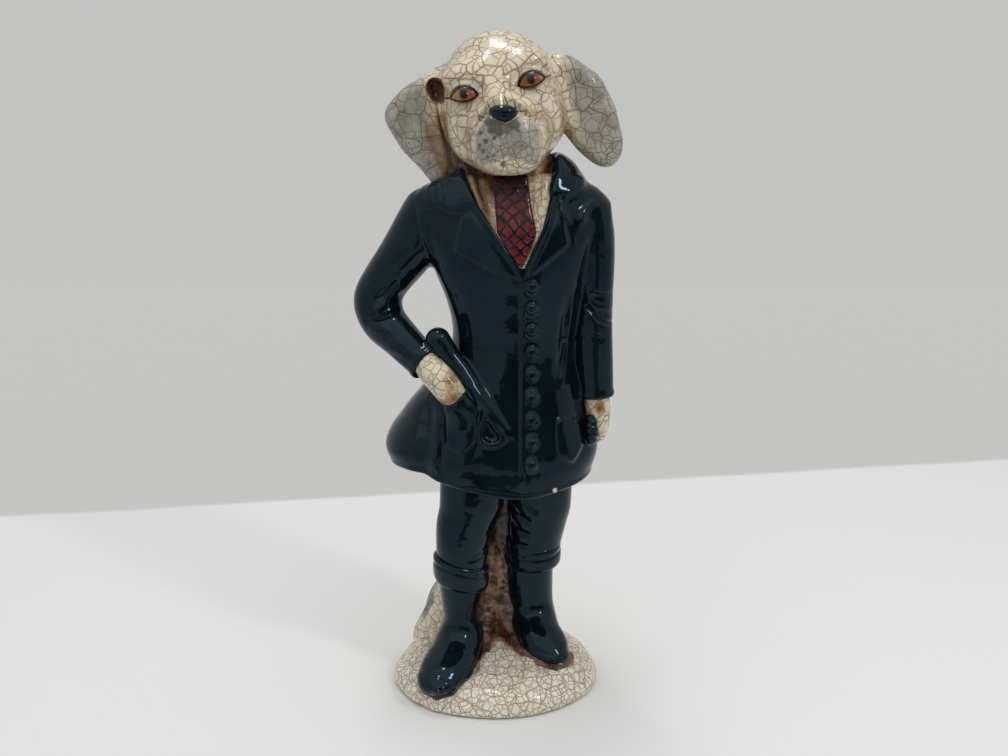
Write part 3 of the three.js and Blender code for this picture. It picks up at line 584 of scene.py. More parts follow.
armSizes = dict(
    cell=0.7,
    right=[(-28, 6, 225, 11.4), (-37, 6, 209.5, 11.9), (-48.3, 8, 194, 10.9), (-51.8, 8, 185.5, 11.1),
           (-49, 4, 177, 10.3), (-40.5, -4, 170, 8.7), (-31, -11, 163, 8.3), (-25.5, -15, 159, 8.2)],
    left=[(42, 5, 226.6, 9.3), (44.3, 4, 212, 9.4), (45.0, 3, 186, 8.8), (44.5, 2, 166, 9.0),
          (45.4, 1, 148, 8.8), (45.6, 0.8, 138, 8.8)],
    rightEnd=(-28.4, -13.0, 161.4), leftEnd=(45.7, 0.9, 142.8), recess=3.5, rim=1.7,
    melt=1.2, frontFrom=8, frontFade=8, uneven=0.25, unevenSize=26,
    edge=dict(rise=0.5, above=1.6, width=1.5),
    rightCreases=[
        ([(-58, 178.2), (-51, 179.4), (-45, 181.6), (-41, 184)], 1.5, 0.9),
        ([(-55, 182.5), (-48.5, 185.5), (-43.5, 190.5), (-40, 194)], -0.9, 1.7),
        ([(-52.5, 187.5), (-46, 192), (-41, 197.5)], 0.7, 1.1),
        ([(-56, 175), (-49, 175.6), (-43.5, 176.4)], -0.7, 1.6),
        ([(-54, 193), (-47, 198), (-41, 203)], 0.45, 1.3),
        ([(-46, 166), (-38, 163), (-31, 158)], 0.4, 1.5),
    ],
    leftCreases=[
        ([(40, 187), (44, 182.5), (48, 178.4), (54, 177)], 1.25, 0.9),
        ([(40, 190), (45.5, 186), (54, 184)], -0.9, 1.8),
        ([(42, 192.5), (47, 191), (54, 190)], 0.6, 1.0),
        ([(39, 176), (44, 172), (50, 171)], 0.45, 1.3),
        ([(41.5, 210), (42.5, 200), (41, 192)], 0.4, 1.6),
    ],
)
for side in ("right", "left"):
    c, s = clayFor([side + "_sleeve"], armSizes["cell"], 5), armSizes
    stops, edge = s[side], s["edge"]
    arm = melt(limb(c, stops, 40), c.cell, s["melt"])
    arm = arm + step(s["frontFrom"] - c.y, 0, s["frontFade"]) * creases(c, s[side + "Creases"])
    arm = arm + s["uneven"] * lumps(c.x, c.y, c.z, s["unevenSize"], 31)
    line = np.subtract(stops[-1][:3], stops[-2][:3])
    line = line / np.linalg.norm(line)
    beyond = sum(n * (v - p) for n, v, p in zip(line, (c.x, c.y, c.z), s[side + "End"]))
    arm = arm - edge["rise"] * bell(beyond + edge["above"], edge["width"])
    pocket = np.maximum(arm + s["rim"], -beyond - s["recess"])
    c.field = trim(trim(arm, beyond, 1.3), -pocket, 0.8)
    lump[side + "_sleeve"] = c
print("sleeves shaped")

pawSizes = dict(
    cell=0.5, groove=0.75, grooveWidth=1.0,
    right=[(-31, -11, 164.5, 6.2), (-29.3, -12.6, 162.5, 6.5), (-22.8, -17.5, 156, 6.9),
           (-17.4, -19.8, 149.5, 6.2), (-14, -19.5, 145, 5.2)],
    rightGrooves=[[(-23.5, -24.5, 160, 0), (-19, -25.6, 155.5, 0), (-15, -25.8, 150.5, 0)]],
    left=[(45.8, 0.6, 147, 6.0), (46.9, -1.5, 139, 5.9), (47.4, -3.2, 132, 5.4), (47.0, -4.6, 126.5, 4.1)],
    leftGrooves=[[(50.5, -6.2, 134, 0), (49.6, -8.2, 123, 0)], [(52.2, -3.2, 134, 0), (50.3, -5, 121, 0)],
                 [(47.5, -8.2, 135, 0), (46.5, -9.5, 124, 0)]],
    glove=[(43.4, -8.6, 134.6, 2.4), (43.9, -9.7, 132.4, 2.9), (44.2, -9.9, 128.6, 3.2),
           (44.0, -9.4, 125.6, 2.6)],
    gloveCell=0.42, gloveFolds=[133.0, 130.4, 127.4], gloveLean=0.4, gloveMiddle=44,
    gloveFold=(0.8, 0.55),  # depth, width
    cropRidge=[(-9, 154), (-2, 145.6), (7, 134.6)], ridge=(0.5, 0.8),  # height, width
    crop=[(-23.8, -12.5, 172.2, 5.5), (-19, -13.8, 165.7, 4.7), (-13.5, -16.2, 159.3, 3.8),
          (-4.5, -20.6, 147.2, 2.8), (6.4, -23.0, 131.6, 1.5)],
)
for side in ("right", "left"):
    c = clayFor([side + "_paw"], pawSizes["cell"], 5)
    paw = limb(c, pawSizes[side])
    for line in pawSizes[side + "Grooves"]:
        paw = paw + pawSizes["groove"] * bell(limb(c, line, 8), pawSizes["grooveWidth"])
    c.field = melt(paw, c.cell, 0.6)
    lump[side + "_paw"] = c

c, s = clayFor(["glove"], pawSizes["gloveCell"]), pawSizes
roll = limb(c, s["glove"])
for z in s["gloveFolds"]:
    slanted = c.z - z + s["gloveLean"] * (c.x - s["gloveMiddle"])
    roll = roll + s["gloveFold"][0] * bell(slanted, s["gloveFold"][1])
c.field = melt(roll, c.cell, 0.4)
lump["glove"] = c

c = clayFor(["riding_crop"], pawSizes["cell"])
away, _ = stroke(c.x, c.z, s["cropRidge"])
rod = limb(c, s["crop"], 30) - s["ridge"][0] * bell(away, s["ridge"][1]) * step(-c.y, 10, 20)
c.field = melt(rod, c.cell, 0.45)
lump["riding_crop"] = c

loopSizes = dict(
    cell=0.42, band=1.5, lift=0.8, behind=4.0,
    ring=[(-2.9, 141.6), (-5.0, 136), (-5.2, 131.6), (-3.2, 129.0), (0.4, 128.4), (3.8, 129.8),
          (4.2, 132.2), (1.6, 136), (-1.0, 139.8)],
)
c, s = clayFor(["crop_loop"], loopSizes["cell"]), loopSizes
ring = curve(s["ring"] + s["ring"][:1], 50)[:-1]
edge = np.abs(melt(outline(c.x, c.z, ring), c.cell, 0.4))
band = np.sqrt(edge**2 + (coatBody(c) - s["lift"]) ** 2) - s["band"]
c.field = np.maximum(band, c.y - s["behind"]).astype("f4")
lump["crop_loop"] = c
print("hands and crop shaped")


# collar

collarSizes = dict(
    cell=0.55, x=7.5, y=6.0, tilt=0.17, rim=247.2,  # the rim rises towards the left shoulder
    rightSide=[(230, 36.5), (236, 36), (241, 34), (245.2, 29.5), (247.5, 24)],
    leftSide=[(230, 34), (236, 31.6), (241.5, 28.4), (246.3, 23.6), (248, 21)],
    depth=[(230, 22), (236, 20.5), (241.5, 19), (246.3, 17.4), (248, 16.2)], hole=(20.0, 14.2),
    rightEdge=[(225, -3.5), (230.2, -6.6), (241.4, -12.8), (248, -17)],
    leftEdge=[(225, 22), (229.5, 23.4), (241.2, 27.0), (246.4, 28.0), (252, 28.6)],
    rightLeaf=[(-5.5, 231), (-12.5, 227.0), (-19.0, 227.1), (-24.4, 231.0), (-23.0, 238), (-19, 243),
               (-13, 246)],
    leftLeaf=[(24.0, 236.2), (31.1, 235.4), (39.6, 236.2), (40, 241), (34, 248), (28, 251)], leafLift=1.7,
    under=1.6, slope=18.0, rimRound=3.0, opening=4.0, leafFrom=6.0, leafBack=(4.0, 0.6), leafRound=1.8,
    leafJoin=3.5, foot=222,
)
c, k = clayFor(["collar", "right_lapel", "left_lapel"], collarSizes["cell"], 6), collarSizes
px, py = c.x - k["x"], c.y - k["y"]
level = c.z - k["tilt"] * px
across = np.where(px < 0, along(level, *zip(*k["rightSide"])), along(level, *zip(*k["leftSide"])))
reach = np.sqrt((px / across) ** 2 + (py / along(level, *zip(*k["depth"]))) ** 2)
roll = trim(even((reach - 1) * k["slope"], c.cell), level - k["rim"], k["rimRound"])
throat = (np.hypot(px / k["hole"][0], py / k["hole"][1]) - 1) * k["hole"][1]
opening = np.minimum(c.x - along(c.z, *zip(*k["rightEdge"])), along(c.z, *zip(*k["leftEdge"])) - c.x)
roll = trim(trim(roll, -throat, 1.0), np.minimum(opening, k["opening"] - c.y), 1.6)
body = coatBody(c)
leaf = np.minimum(*[melt(outline(c.x, c.z, k[side]), c.cell, 1.2) for side in ("rightLeaf", "leftLeaf")])
lift = k["leafLift"] * step(k["leafFrom"] - c.y, 0, 9)
lift = lift - k["leafBack"][1] * step(c.y - k["leafBack"][0], 0, 5)
leaf = trim(leaf + 0 * body, body - lift, k["leafRound"])
roll = np.maximum(join(roll, leaf, k["leafJoin"]), -body - k["under"])
c.field = melt(np.maximum(roll, k["foot"] - c.z), c.cell, 0.6)
lump["collar"] = c
print("collar shaped")


# head: its own frame is tilted towards the right shoulder

headSizes = dict(
    cell=0.55, middle=(4.5, 3.0, 271.0), tilt=12.0,
    skull=((0, 3, 5.4), (25, 26, 25.4)), jowl=((0.4, -3, -8.5), (23.0, 23, 17.5)),
    bridge=((0, -17.4, -0.5), (11.0, 14.6, 9.0)), cheek=((12.6, -12.0, -8.4), (10.8, 12.5, 11.8)),
    brow=((12.4, -15.2, 14.6), (9.4, 6.5, 5.4)), socket=((13.8, -27.0, 7.4), (7.8, 4.9, 4.8)),
    # these stand upright in the figure
    snout=((7.3, -17.0, 256.0), (14.4, 16.6, 12.6)), pad=((7.3, 256.0), (14.2, 12.4)), padPower=2.8,
    padRise=0.45,
    nose=[(-0.9, 269.3), (0.4, 271.0), (2.8, 272.0), (5.3, 272.2), (7.8, 271.9), (10.4, 270.8),
          (11.6, 269.0), (10.2, 267.0), (7.9, 265.2), (6.2, 264.0), (4.4, 265.2), (1.4, 266.8)],
    noseFront=-36.0,
    eye=((14.0, -20.6, 7.0), (6.6, 4.8, 4.7)), eyeSlant=5.5, eyeHalf=5.5, eyeTop=3.6, eyeBottom=1.7,
    rightEar=[(-17, 18), (-25, 20.4), (-33, 18.6), (-41, 15.4), (-50.6, 8), (-49.6, -4), (-43, -17),
              (-38, -26), (-34, -31.5), (-27, -33), (-20, -24), (-17, -6)],
    leftEar=[(18, 13), (24, 15.8), (30, 15.4), (36.8, 11.2), (42.8, 3.5), (47, -7), (48.4, -20),
             (46, -31.5), (39.5, -36), (32, -32.5), (26, -24), (21.5, -11)],
    earBehind=4.0, earThick=4.3, earCell=0.6,
    earHole=((-26.4, -4.5, 11.7), (4.1, 8.0, 6.2)), earRound=6.5, earWave=(1.2, 22, 9), earLean=(0.03, 2),
    earRim=dict(share=0.28, inward=4.5, width=3.5), earUneven=(0.3, 17),  # amount, size
    reach=dict(jowl=9, cheek=8, brow=7, bridge=13, snout=9, socket=4.5), uneven=(0.12, 15),
    lid=dict(edge=1.0, width=0.9, upper=0.7, lower=0.3, crease=2.7, depth=0.3),
    muzzleCell=0.5, noseCell=0.38, eyeCell=0.33, muzzleBack=14, padRound=1.2,
    dimple=((5.3, 248.5), 0.6, 1.1),
    muzzleCreases=[([(6.2, 266), (6.5, 261), (7.0, 257), (7.2, 253.5)], 0.7, 1.2),
                   ([(-3, 247.6), (1.5, 250.0), (7, 252.6), (11, 250.6), (17, 248.4)], 0.35, 1.2)],
    noseMiddle=(5.3, 269.6), noseBend=(0.055, 0.09), noseRound=3.2, noseBack=-24.0,
    nostril=dict(x=5.5, apart=3.1, out=0.6, z=268.0, radii=(1.2, 1.6, 0.6), rounding=0.8),
    eyeUnder=0.6, eyeRound=0.7,
)
tiltCos, tiltSin = (f(math.radians(headSizes["tilt"])) for f in (math.cos, math.sin))


# the head's own coordinates of places in the figure, for numbers and for shader values
def headFrame(x, y, z):
    px, py, pz = (v - m for v, m in zip((x, y, z), headSizes["middle"]))
    return px * tiltCos + pz * tiltSin, py, pz * tiltCos - px * tiltSin


# distances to the lids' arcs in the head's front view, and the eye's own coordinates
def eyeOutline(x, z, side):
    h = headSizes
    slant = math.radians(h["eyeSlant"]) * side
    px, pz = x - side * h["eye"][0][0], z - h["eye"][0][2]
    u = px * math.cos(slant) + pz * math.sin(slant)
    v = pz * math.cos(slant) - px * math.sin(slant)
    rounds = [(h["eyeHalf"] ** 2 + b * b) / (2 * b) for b in (h["eyeTop"], h["eyeBottom"])]
    over, below = v - h["eyeTop"] + rounds[0], v + h["eyeBottom"] - rounds[1]
    upper = (u * u + over * over) ** 0.5 - rounds[0]
    lower = (u * u + below * below) ** 0.5 - rounds[1]
    return upper, lower, u, v


def almond(x, z, side):
    return np.maximum(*eyeOutline(x, z, side)[:2])


def pair(x, y, z, shape):
    return ball(np.abs(x), y, z, *shape)


def pillow(c, middle, radii, power=2.6):
    shares = [np.abs((v - m) / r) ** power for v, m, r in zip((c.x, c.y, c.z), middle, radii)]
    return even((sum(shares) ** (1 / power) - 1) * min(radii), c.cell)


def padShare(x, z):  # 1 at the edge of the muzzle's pad
    (px, pz), (a, b) = headSizes["pad"]
    power = headSizes["padPower"]
    return (np.abs((x - px) / a) ** power + np.abs((z - pz) / b) ** power) ** (1 / power)


def headBody(c):
    h, reach, lid = headSizes, headSizes["reach"], headSizes["lid"]
    x, y, z = headFrame(c.x, c.y, c.z)
    body = join(ball(x, y, z, *h["skull"]), ball(x, y, z, *h["jowl"]), reach["jowl"])
    body = join(body, pair(x, y, z, h["cheek"]), reach["cheek"])
    body = join(body, pair(x, y, z, h["brow"]), reach["brow"])
    body = join(body, ball(x, y, z, *h["bridge"]), reach["bridge"])
    body = join(body, pillow(c, *h["snout"]), reach["snout"])
    body = trim(body, -pair(x, y, z, h["socket"]), reach["socket"])
    front = step(-y, 6, 14)
    above = step(z - h["eye"][0][2], -1.5, 1.5)
    for side in (-1, 1):
        away = almond(x, z, side)
        rise = lid["lower"] + (lid["upper"] - lid["lower"]) * above
        fold = rise * bell(away - lid["edge"], lid["width"])
        fold = fold - lid["depth"] * above * bell(away - lid["crease"], lid["width"])
        body = body - front * fold
    return (body + h["uneven"][0] * lumps(c.x, c.y, c.z, h["uneven"][1], 41)).astype("f4")


def muzzleBody(c):
    h, (place, depth, width) = headSizes, headSizes["dimple"]
    _, y, _ = headFrame(c.x, c.y, c.z)
    dents = creases(c, h["muzzleCreases"]) + depth * bell(np.hypot(c.x - place[0], c.z - place[1]), width)
    body = headBody(c) - h["padRise"] + step(-y, 18, 24) * dents
    edge = (padShare(c.x, c.z) - 1) * h["pad"][1][1]
    return np.maximum(trim(edge, body, h["padRound"]), y + h["muzzleBack"])


h = headSizes
c = clayFor(["head"], h["cell"], 5)
c.field = headBody(c)
lump["head"] = c
c = clayFor(["muzzle"], h["muzzleCell"], 5)
c.field = muzzleBody(c).astype("f4")
lump["muzzle"] = c

c = clayFor(["nose"], h["noseCell"], 4)
edge = melt(outline(c.x, c.z, h["nose"]), c.cell, 0.6)
bend = h["noseBend"][0] * (c.x - h["noseMiddle"][0]) ** 2 + h["noseBend"][1] * (c.z - h["noseMiddle"][1]) ** 2
front = h["noseFront"] + bend - c.y
nose, hole = trim(edge + 0 * front, front, h["noseRound"]), h["nostril"]
for side in (-1, 1):
    place = (hole["x"] + side * hole["apart"], h["noseFront"] - hole["out"], hole["z"])
    nose = trim(nose, -ball(c.x, c.y, c.z, place, hole["radii"]), hole["rounding"])
c.field = np.maximum(nose, c.y - h["noseBack"]).astype("f4")
lump["nose"] = c

for side, sign in (("right", -1), ("left", 1)):
    c = clayFor([side + "_eye"], h["eyeCell"], 3)
    x, y, z = headFrame(c.x, c.y, c.z)
    globe = ball(x * sign, y, z, *h["eye"])
    c.field = trim(globe, almond(x, z, sign) - h["eyeUnder"], h["eyeRound"]).astype("f4")
    lump[side + "_eye"] = c

    c = clayFor([side + "_ear"], h["earCell"], 6)
    x, y, z = headFrame(c.x, c.y, c.z)
    shape = curve(h[side + "Ear"] + h[side + "Ear"][:1], 60)[:-1]
    edge = melt(outline(x, z, shape), c.cell, 0.8)
    rim, (wave, waveFrom, waveSize), (lean, leanFrom) = h["earRim"], h["earWave"], h["earLean"]
    middle = h["earBehind"] - wave * np.sin((np.abs(x) - waveFrom) / waveSize) + lean * (z - leanFrom)
    ridge = bell(np.clip(-edge, 0, 14) - rim["inward"], rim["width"])
    thick = h["earThick"] * (1 - rim["share"] + rim["share"] * ridge)
    flap = trim(edge + 0 * c.y, np.abs(y - middle) - thick, h["earRound"])
    flap = flap + h["earUneven"][0] * lumps(c.x, c.y, c.z, h["earUneven"][1], 43 + sign)
    c.field = melt(flap, c.cell, 0.7)
    lump[side + "_ear"] = c

neckSizes = dict(
    cell=0.6, ends=(226, 262),
    sections=[(226, 20.6, 14.6, 7.5, 6), (240, 20.4, 14.8, 7.5, 6), (247, 19.4, 15, 6.9, 5),
              (254, 17.4, 15, 5.6, 3.5), (264, 16.5, 15.5, 4.5, 2)],
    folds=[([(-12, 252), (-9.5, 244), (-6, 237)], 0.9, 1.1),
           ([(-8, 253), (-5.5, 246), (-3, 238)], -0.8, 1.6), ([(22, 255), (23, 247), (22, 238)], 0.7, 1.4),
           ([(18.5, 253), (19, 245), (18, 238)], -0.5, 1.8)],
)
c = clayFor(["neck"], neckSizes["cell"], 9)
c.field = between(c, upright(c, neckSizes["sections"]), *neckSizes["ends"])
c.field = c.field + step(2 - c.y, 0, 6) * creases(c, neckSizes["folds"])
lump["neck"] = c
print("head shaped")


# hollows at the right ear, and fillets where pieces meet

for name in ("head", "right_ear"):
    c = lump[name]
    x, y, z = headFrame(c.x, c.y, c.z)
    c.field = trim(c.field, -ball(x, y, z, *headSizes["earHole"]), 0.8).astype("f4")

seats = {  # neighbour, reach of the fillet, sink
    "coat": [("right_sleeve", 5, 0.22), ("left_sleeve", 3.2, 0.22), ("collar", 1.6, 0.15),
             ("right_lapel", 0.9, 0.08), ("left_lapel", 0.9, 0.08), ("right_pocket", 1.4, 0.08),
             ("left_pocket", 1.4, 0.08), ("riding_crop", 3.0, 0.12), ("crop_loop", 1.4, 0.08),
             ("glove", 1.4, 0.1)],
    "head": [("right_ear", 3.5, 0.25), ("left_ear", 5.0, 0.25), ("nose", 0.9, 0.1)],
    "muzzle": [("nose", 0.9, 0.1)],
    "neck": [("head", 4, 0.25), ("right_ear", 3, 0.25), ("collar", 2, 0.2)],
    "right_sleeve": [("riding_crop", 2.0, 0.15)],
    "mound": [("stump", 1.6, 0.3), ("right_sole", 0.8, 0.1), ("left_sole", 0.6, 0.1)],
    "right_pocket": [("right_paw", 1.4, 0.1), ("riding_crop", 1.2, 0.1)],
    "left_pocket": [("glove", 1.0, 0.1)],
}
seats["coat"] += [(name, 0.7, 0.08) for name in buttonNames]
for name, others in seats.items():
    for other, reach, sink in others:
        lump[name].seat(lump[other], reach, sink)
c = lump["coat"]
c.field = trim(c.field, c.z - along(c.x, *zip(*coatSizes["shoulder"])), 2).astype("f4")
print("fillets run")


# how deep each place lies between its neighbours, for the wash in the hollows

hollowSizes = dict(cell=1.1, margin=8.0, sharp=3.0, wide=2.6, close=1.3)
k = hollowSizes
low, high = (np.array(corner) * metre for corner in cadBox)
room = clayBetween(low - k["margin"], high + k["margin"], k["cell"])
nearest = np.full(tuple(room.counts), k["margin"], "f4")
for c in lump.values():
    high = c.low + (c.counts - 1) * c.cell
    first = np.maximum(np.ceil((c.low - room.low) / room.cell).astype(int), 0)
    last = np.minimum(np.floor((high - room.low) / room.cell).astype(int) + 1, room.counts)
    target = nearest[tuple(slice(f, n) for f, n in zip(first, last))]
    np.minimum(target, Clay(room.low + first * room.cell, target.shape, room.cell).take(c), out=target)
filled = (1 / (1 + np.exp(np.clip(nearest * k["sharp"], -30, 30)))).astype("f4")
room.field = melt(filled, room.cell, k["wide"])
near = Clay(room.low, room.counts, room.cell)
near.field = melt(filled, room.cell, k["close"])
print("hollows measured")


# shader building


class Wire:
    def __init__(self, shop, socket):
        self.shop, self.socket = shop, socket

    def maths(self, operation, *inputs):
        return self.shop.add("ShaderNodeMath", dict(operation=operation), dict(enumerate(inputs)))

    def __add__(self, other):
        return self.maths("ADD", self, other)

    def __sub__(self, other):
        return self.maths("SUBTRACT", self, other)

    def __rsub__(self, other):
        return self.maths("SUBTRACT", other, self)

    def __mul__(self, other):
        return self.maths("MULTIPLY", self, other)

    def __truediv__(self, other):
        return self.maths("DIVIDE", self, other)

    def __rtruediv__(self, other):
        return self.maths("DIVIDE", other, self)

    def __pow__(self, other):
        return self.maths("POWER", self, other)

    def __abs__(self):
        return self.maths("ABSOLUTE", self)

    __radd__ = __add__
    __rmul__ = __mul__

    def least(self, other):
        return self.maths("MINIMUM", self, other)

    def most(self, other):
        return self.maths("MAXIMUM", self, other)


class NodeShop:
    def __init__(self, tree):
        self.tree = tree

    def add(self, kind, settings, inputs, output=0):
        node = self.tree.nodes.new(kind)
        for key, value in settings.items():
            setattr(node, key, value)
        for key, value in inputs.items():
            if isinstance(value, Wire):
                self.tree.links.new(value.socket, node.inputs[key])
            else:
                node.inputs[key].default_value = value
        return Wire(self, node.outputs[output])

    def vector(self, operation, inputs, output="Vector"):
        return self.add("ShaderNodeVectorMath", dict(operation=operation), inputs, output)

    def split(self, vector, axes="XYZ"):
        return [self.add("ShaderNodeSeparateXYZ", {}, {0: vector}, a) for a in axes]

    def step(self, value, low, high, start=0.0, end=1.0):
        inputs = {"Value": value, "From Min": low, "From Max": high, "To Min": start, "To Max": end}
        return self.add("ShaderNodeMapRange", dict(interpolation_type="SMOOTHSTEP"), inputs)

    def mix(self, share, first, second):
        first, second = (v if isinstance(v, Wire) else (*v, 1) for v in (first, second))
        return self.add("ShaderNodeMix", dict(data_type="RGBA"), {0: share, 6: first, 7: second}, 2)

    def ray(self, kind):
        return self.add("ShaderNodeLightPath", {}, {}, "Is %s Ray" % kind)


class GlazeShop(NodeShop):
    def __init__(self, name):
        self.material = bpy.data.materials.new(name)
        self.material.use_nodes = True
        super().__init__(self.material.node_tree)
        self.shader = self.tree.nodes["Principled BSDF"]
        place = self.add("ShaderNodeTexCoord", {}, {}, "Object")
        self.place = self.vector("SCALE", {0: place, 3: metre})  # millimetres

    def noise(self, size, detail=2.0, output="Fac"):
        return self.add("ShaderNodeTexNoise", {},
                        {"Vector": self.place, "Scale": 1 / size, "Detail": detail}, output)

    def stray(self, size, amount):  # noise about nought
        return (self.noise(size) - 0.5) * amount

    def mark(self, name):
        return self.add("ShaderNodeAttribute", dict(attribute_name=name), {}, "Fac")

    def bump(self, height, distance):
        return self.add("ShaderNodeBump", {}, {"Height": height, "Distance": distance}, "Normal")

    def finish(self, **sockets):
        for key, value in sockets.items():
            socket = self.shader.inputs[key.replace("_", " ")]
            if isinstance(value, Wire):
                self.tree.links.new(value.socket, socket)
            else:
                socket.default_value = value
        return self.material


# millimetres along the surface to the nearest crack, and the cell
def crackle(shop, size, warp, seed, parent=None):
    shift = shop.noise(size * 1.7, detail=1.0, output="Color")
    shift = shop.vector("SUBTRACT", {0: shift, 1: (0.5, 0.5, 0.5)})
    place = shop.vector("MULTIPLY_ADD", {0: shift, 1: (warp, warp, warp), 2: shop.place})
    place = shop.vector("ADD", {0: place, 1: (seed, 2 * seed, 3 * seed)})
    if parent:  # each parent cell has its own pattern, so its cracks end at the parent's
        place = shop.vector("MULTIPLY_ADD", {0: parent, 1: (5.3, 7.1, 6.7), 2: place})
    cells = {"Vector": place, "Scale": 1 / size, "Randomness": 0.85}
    points = [shop.add("ShaderNodeTexVoronoi", dict(feature=f), cells, "Position") for f in ("F1", "F2")]
    across = shop.vector("NORMALIZE", {0: shop.vector("SUBTRACT", {0: points[1], 1: points[0]})})
    middle = shop.vector("SCALE", {0: shop.vector("ADD", {0: points[0], 1: points[1]}), 3: 0.5})
    away = shop.vector("SUBTRACT", {0: middle, 1: place})
    away = shop.vector("DOT_PRODUCT", {0: away, 1: across}, "Value")
    normal = shop.add("ShaderNodeNewGeometry", {}, {}, "Normal")
    facing = shop.vector("DOT_PRODUCT", {0: across, 1: normal}, "Value")
    lean = (1 - facing * facing).most(0.03) ** 0.5
    return abs(away) / lean, points[0]


creamColours = dict(
    pale=(0.65, 0.575, 0.435), warm=(0.60, 0.50, 0.345), grey=(0.34, 0.32, 0.275),
    greyDark=(0.235, 0.22, 0.187), crack=(0.125, 0.098, 0.064), greyCrack=(0.075, 0.068, 0.056),
    wash=(0.25, 0.125, 0.038), deep=(0.040, 0.016, 0.008), speck=(0.05, 0.035, 0.02),
    darkMarks=(0.040, 0.038, 0.034), paleWhite=(0.82, 0.76, 0.64), warmWhite=(0.76, 0.68, 0.53),
)


def whiter(name, share):
    k = creamColours
    return tuple(a + share * (b - a) for a, b in zip(k[name], k[name + "White"]))


def creamColour(shop, cell, width, seed, white=0.0):  # white: 1 for the fully white glaze of the base
    k = creamColours
    pale, warm = whiter("pale", white), whiter("warm", white)
    first, parent = crackle(shop, cell * 1.75, cell * 1.2, seed)
    second, _ = crackle(shop, cell, cell * 0.7, seed + 31, parent)
    strength = shop.step(shop.noise(cell * 3, detail=1.0), 0.3, 0.6, 0.55, 1.0)
    main = shop.step(first, width * 0.4, width * 1.6, 1, 0)
    fine = shop.step(second, width * 0.3, width * 1.4, 1, 0) * strength
    halo = shop.step(first.least(second), width * 0.5, width * 4.0, 1, 0)
    colour = shop.mix(shop.step(shop.noise(14), 0.35, 0.7), pale, warm)
    grey = shop.mix(shop.step(shop.noise(6.5, detail=3.0), 0.4, 0.7), k["grey"], k["greyDark"])
    greyMark = shop.step(shop.mark("grey") + shop.stray(4.0, 0.35), 0.15, 0.85)
    colour = shop.mix(greyMark * 0.95, colour, grey)
    wash = shop.mark("wash")
    blotch = shop.noise(3.2, detail=4.0)
    stain = shop.step(wash + (blotch - 0.5) * 0.9 * shop.step(wash, 0.02, 0.3), 0.05, 0.95)
    colour = shop.mix(stain * 0.92, colour, k["wash"])
    dark = shop.step(wash + (blotch - 0.5) * 0.5, 0.75, 1.25)
    colour = shop.mix(dark, colour, k["deep"])
    # dark spots and smudges on the muzzle
    darkMarks = shop.mark("darkMarks")
    darkMarks = shop.step(darkMarks + (blotch - 0.5) * 1.1 * shop.step(darkMarks, 0.02, 0.25), 0.2, 0.75)
    colour = shop.mix(darkMarks * 0.85, colour, k["darkMarks"])
    colour = shop.mix(halo * (0.20 - greyMark * 0.14), colour, k["wash"])
    lines = (main * 0.85).most(fine * 0.75) * (1 - dark * 0.9)
    colour = shop.mix(lines, colour, shop.mix(greyMark, k["crack"], k["greyCrack"]))
    dots = {"Vector": shop.place, "Scale": 1 / 4.4}
    speck = shop.step(shop.add("ShaderNodeTexVoronoi", {}, dots, "Distance"), 0.06, 0.11, 1, 0)
    pick = shop.add("ShaderNodeTexVoronoi", {}, dots, "Color")
    pick = shop.add("ShaderNodeSeparateColor", {}, {0: pick}, 0)
    colour = shop.mix(speck * shop.step(pick, 0.50, 0.54) * 0.85, colour, k["speck"])
    return colour, lines


def creamFinish(shop, colour, lines, rough, crackRough):
    return shop.finish(
        Base_Color=colour, Roughness=shop.step(lines, 0, 1, rough, crackRough), Specular_IOR_Level=0.5,
        Normal=shop.bump(shop.noise(7.0) * 0.6 - lines * 0.25, 0.00012),
    )


def creamGlaze(name, cell, width, seed, rough=0.13, white=0.0):
    shop = GlazeShop(name)
    return creamFinish(shop, *creamColour(shop, cell, width, seed, white), rough, 0.38)


blackColours = dict(
    deep=(0.0026, 0.0052, 0.0085), teal=(0.0034, 0.0085, 0.0110), worn=(0.030, 0.027, 0.025),
    chip=(0.60, 0.53, 0.41), chipRim=(0.07, 0.04, 0.016), sheen=(0.55, 0.82, 1.0, 1.0),
    noseSheen=(0.6, 0.65, 0.72, 1.0),
)
chipSizes = dict(x=27.4, z=105.6, bare=(0.95, 1.15), rim=(1.5, 1.8), ragged=1.1)  # a bare spot by the hem
depths = np.linspace(-40, 0, 400)
probe = np.stack([0 * depths + chipSizes["x"], depths, 0 * depths + chipSizes["z"]], axis=1)
inside = lump["coat"].at(probe) < 0
chipPlace = (chipSizes["x"], float(depths[inside.argmax()]), chipSizes["z"])


def blackGlaze(name, chip=None, sheen="sheen"):
    shop = GlazeShop(name)
    k = blackColours
    colour = shop.mix(shop.step(shop.noise(16), 0.35, 0.65), k["deep"], k["teal"])
    worn = shop.step(shop.mark("edge") + shop.stray(2.0, 0.5), 0.75, 1.3)
    colour = shop.mix(worn * 0.6, colour, k["worn"])
    rough = shop.step(shop.noise(5.0, detail=4.0), 0.3, 0.75, 0.04, 0.075)
    # fine pale specks of dust on the black glaze
    dustAndHighlight = shop.step(shop.noise(0.7), 0.72, 0.80)
    colour = shop.mix(dustAndHighlight * 0.25, colour, k["worn"])
    if chip:
        away = shop.vector("DISTANCE", {0: shop.place, 1: chip}, "Value")
        away = away + shop.stray(1.6, chipSizes["ragged"])
        colour = shop.mix(shop.step(away, *chipSizes["rim"], 1, 0), colour, k["chipRim"])
        bare = shop.step(away, *chipSizes["bare"], 1, 0)
        colour = shop.mix(bare, colour, k["chip"])
        rough = rough + bare * 0.4
    height = shop.noise(5.0, detail=1.0) + shop.noise(1.5, detail=1.0) * 0.15
    return shop.finish(
        Base_Color=colour, Roughness=rough, Normal=shop.bump(height, 0.00013),
        Specular_IOR_Level=0.34, Specular_Tint=k[sheen],
    )
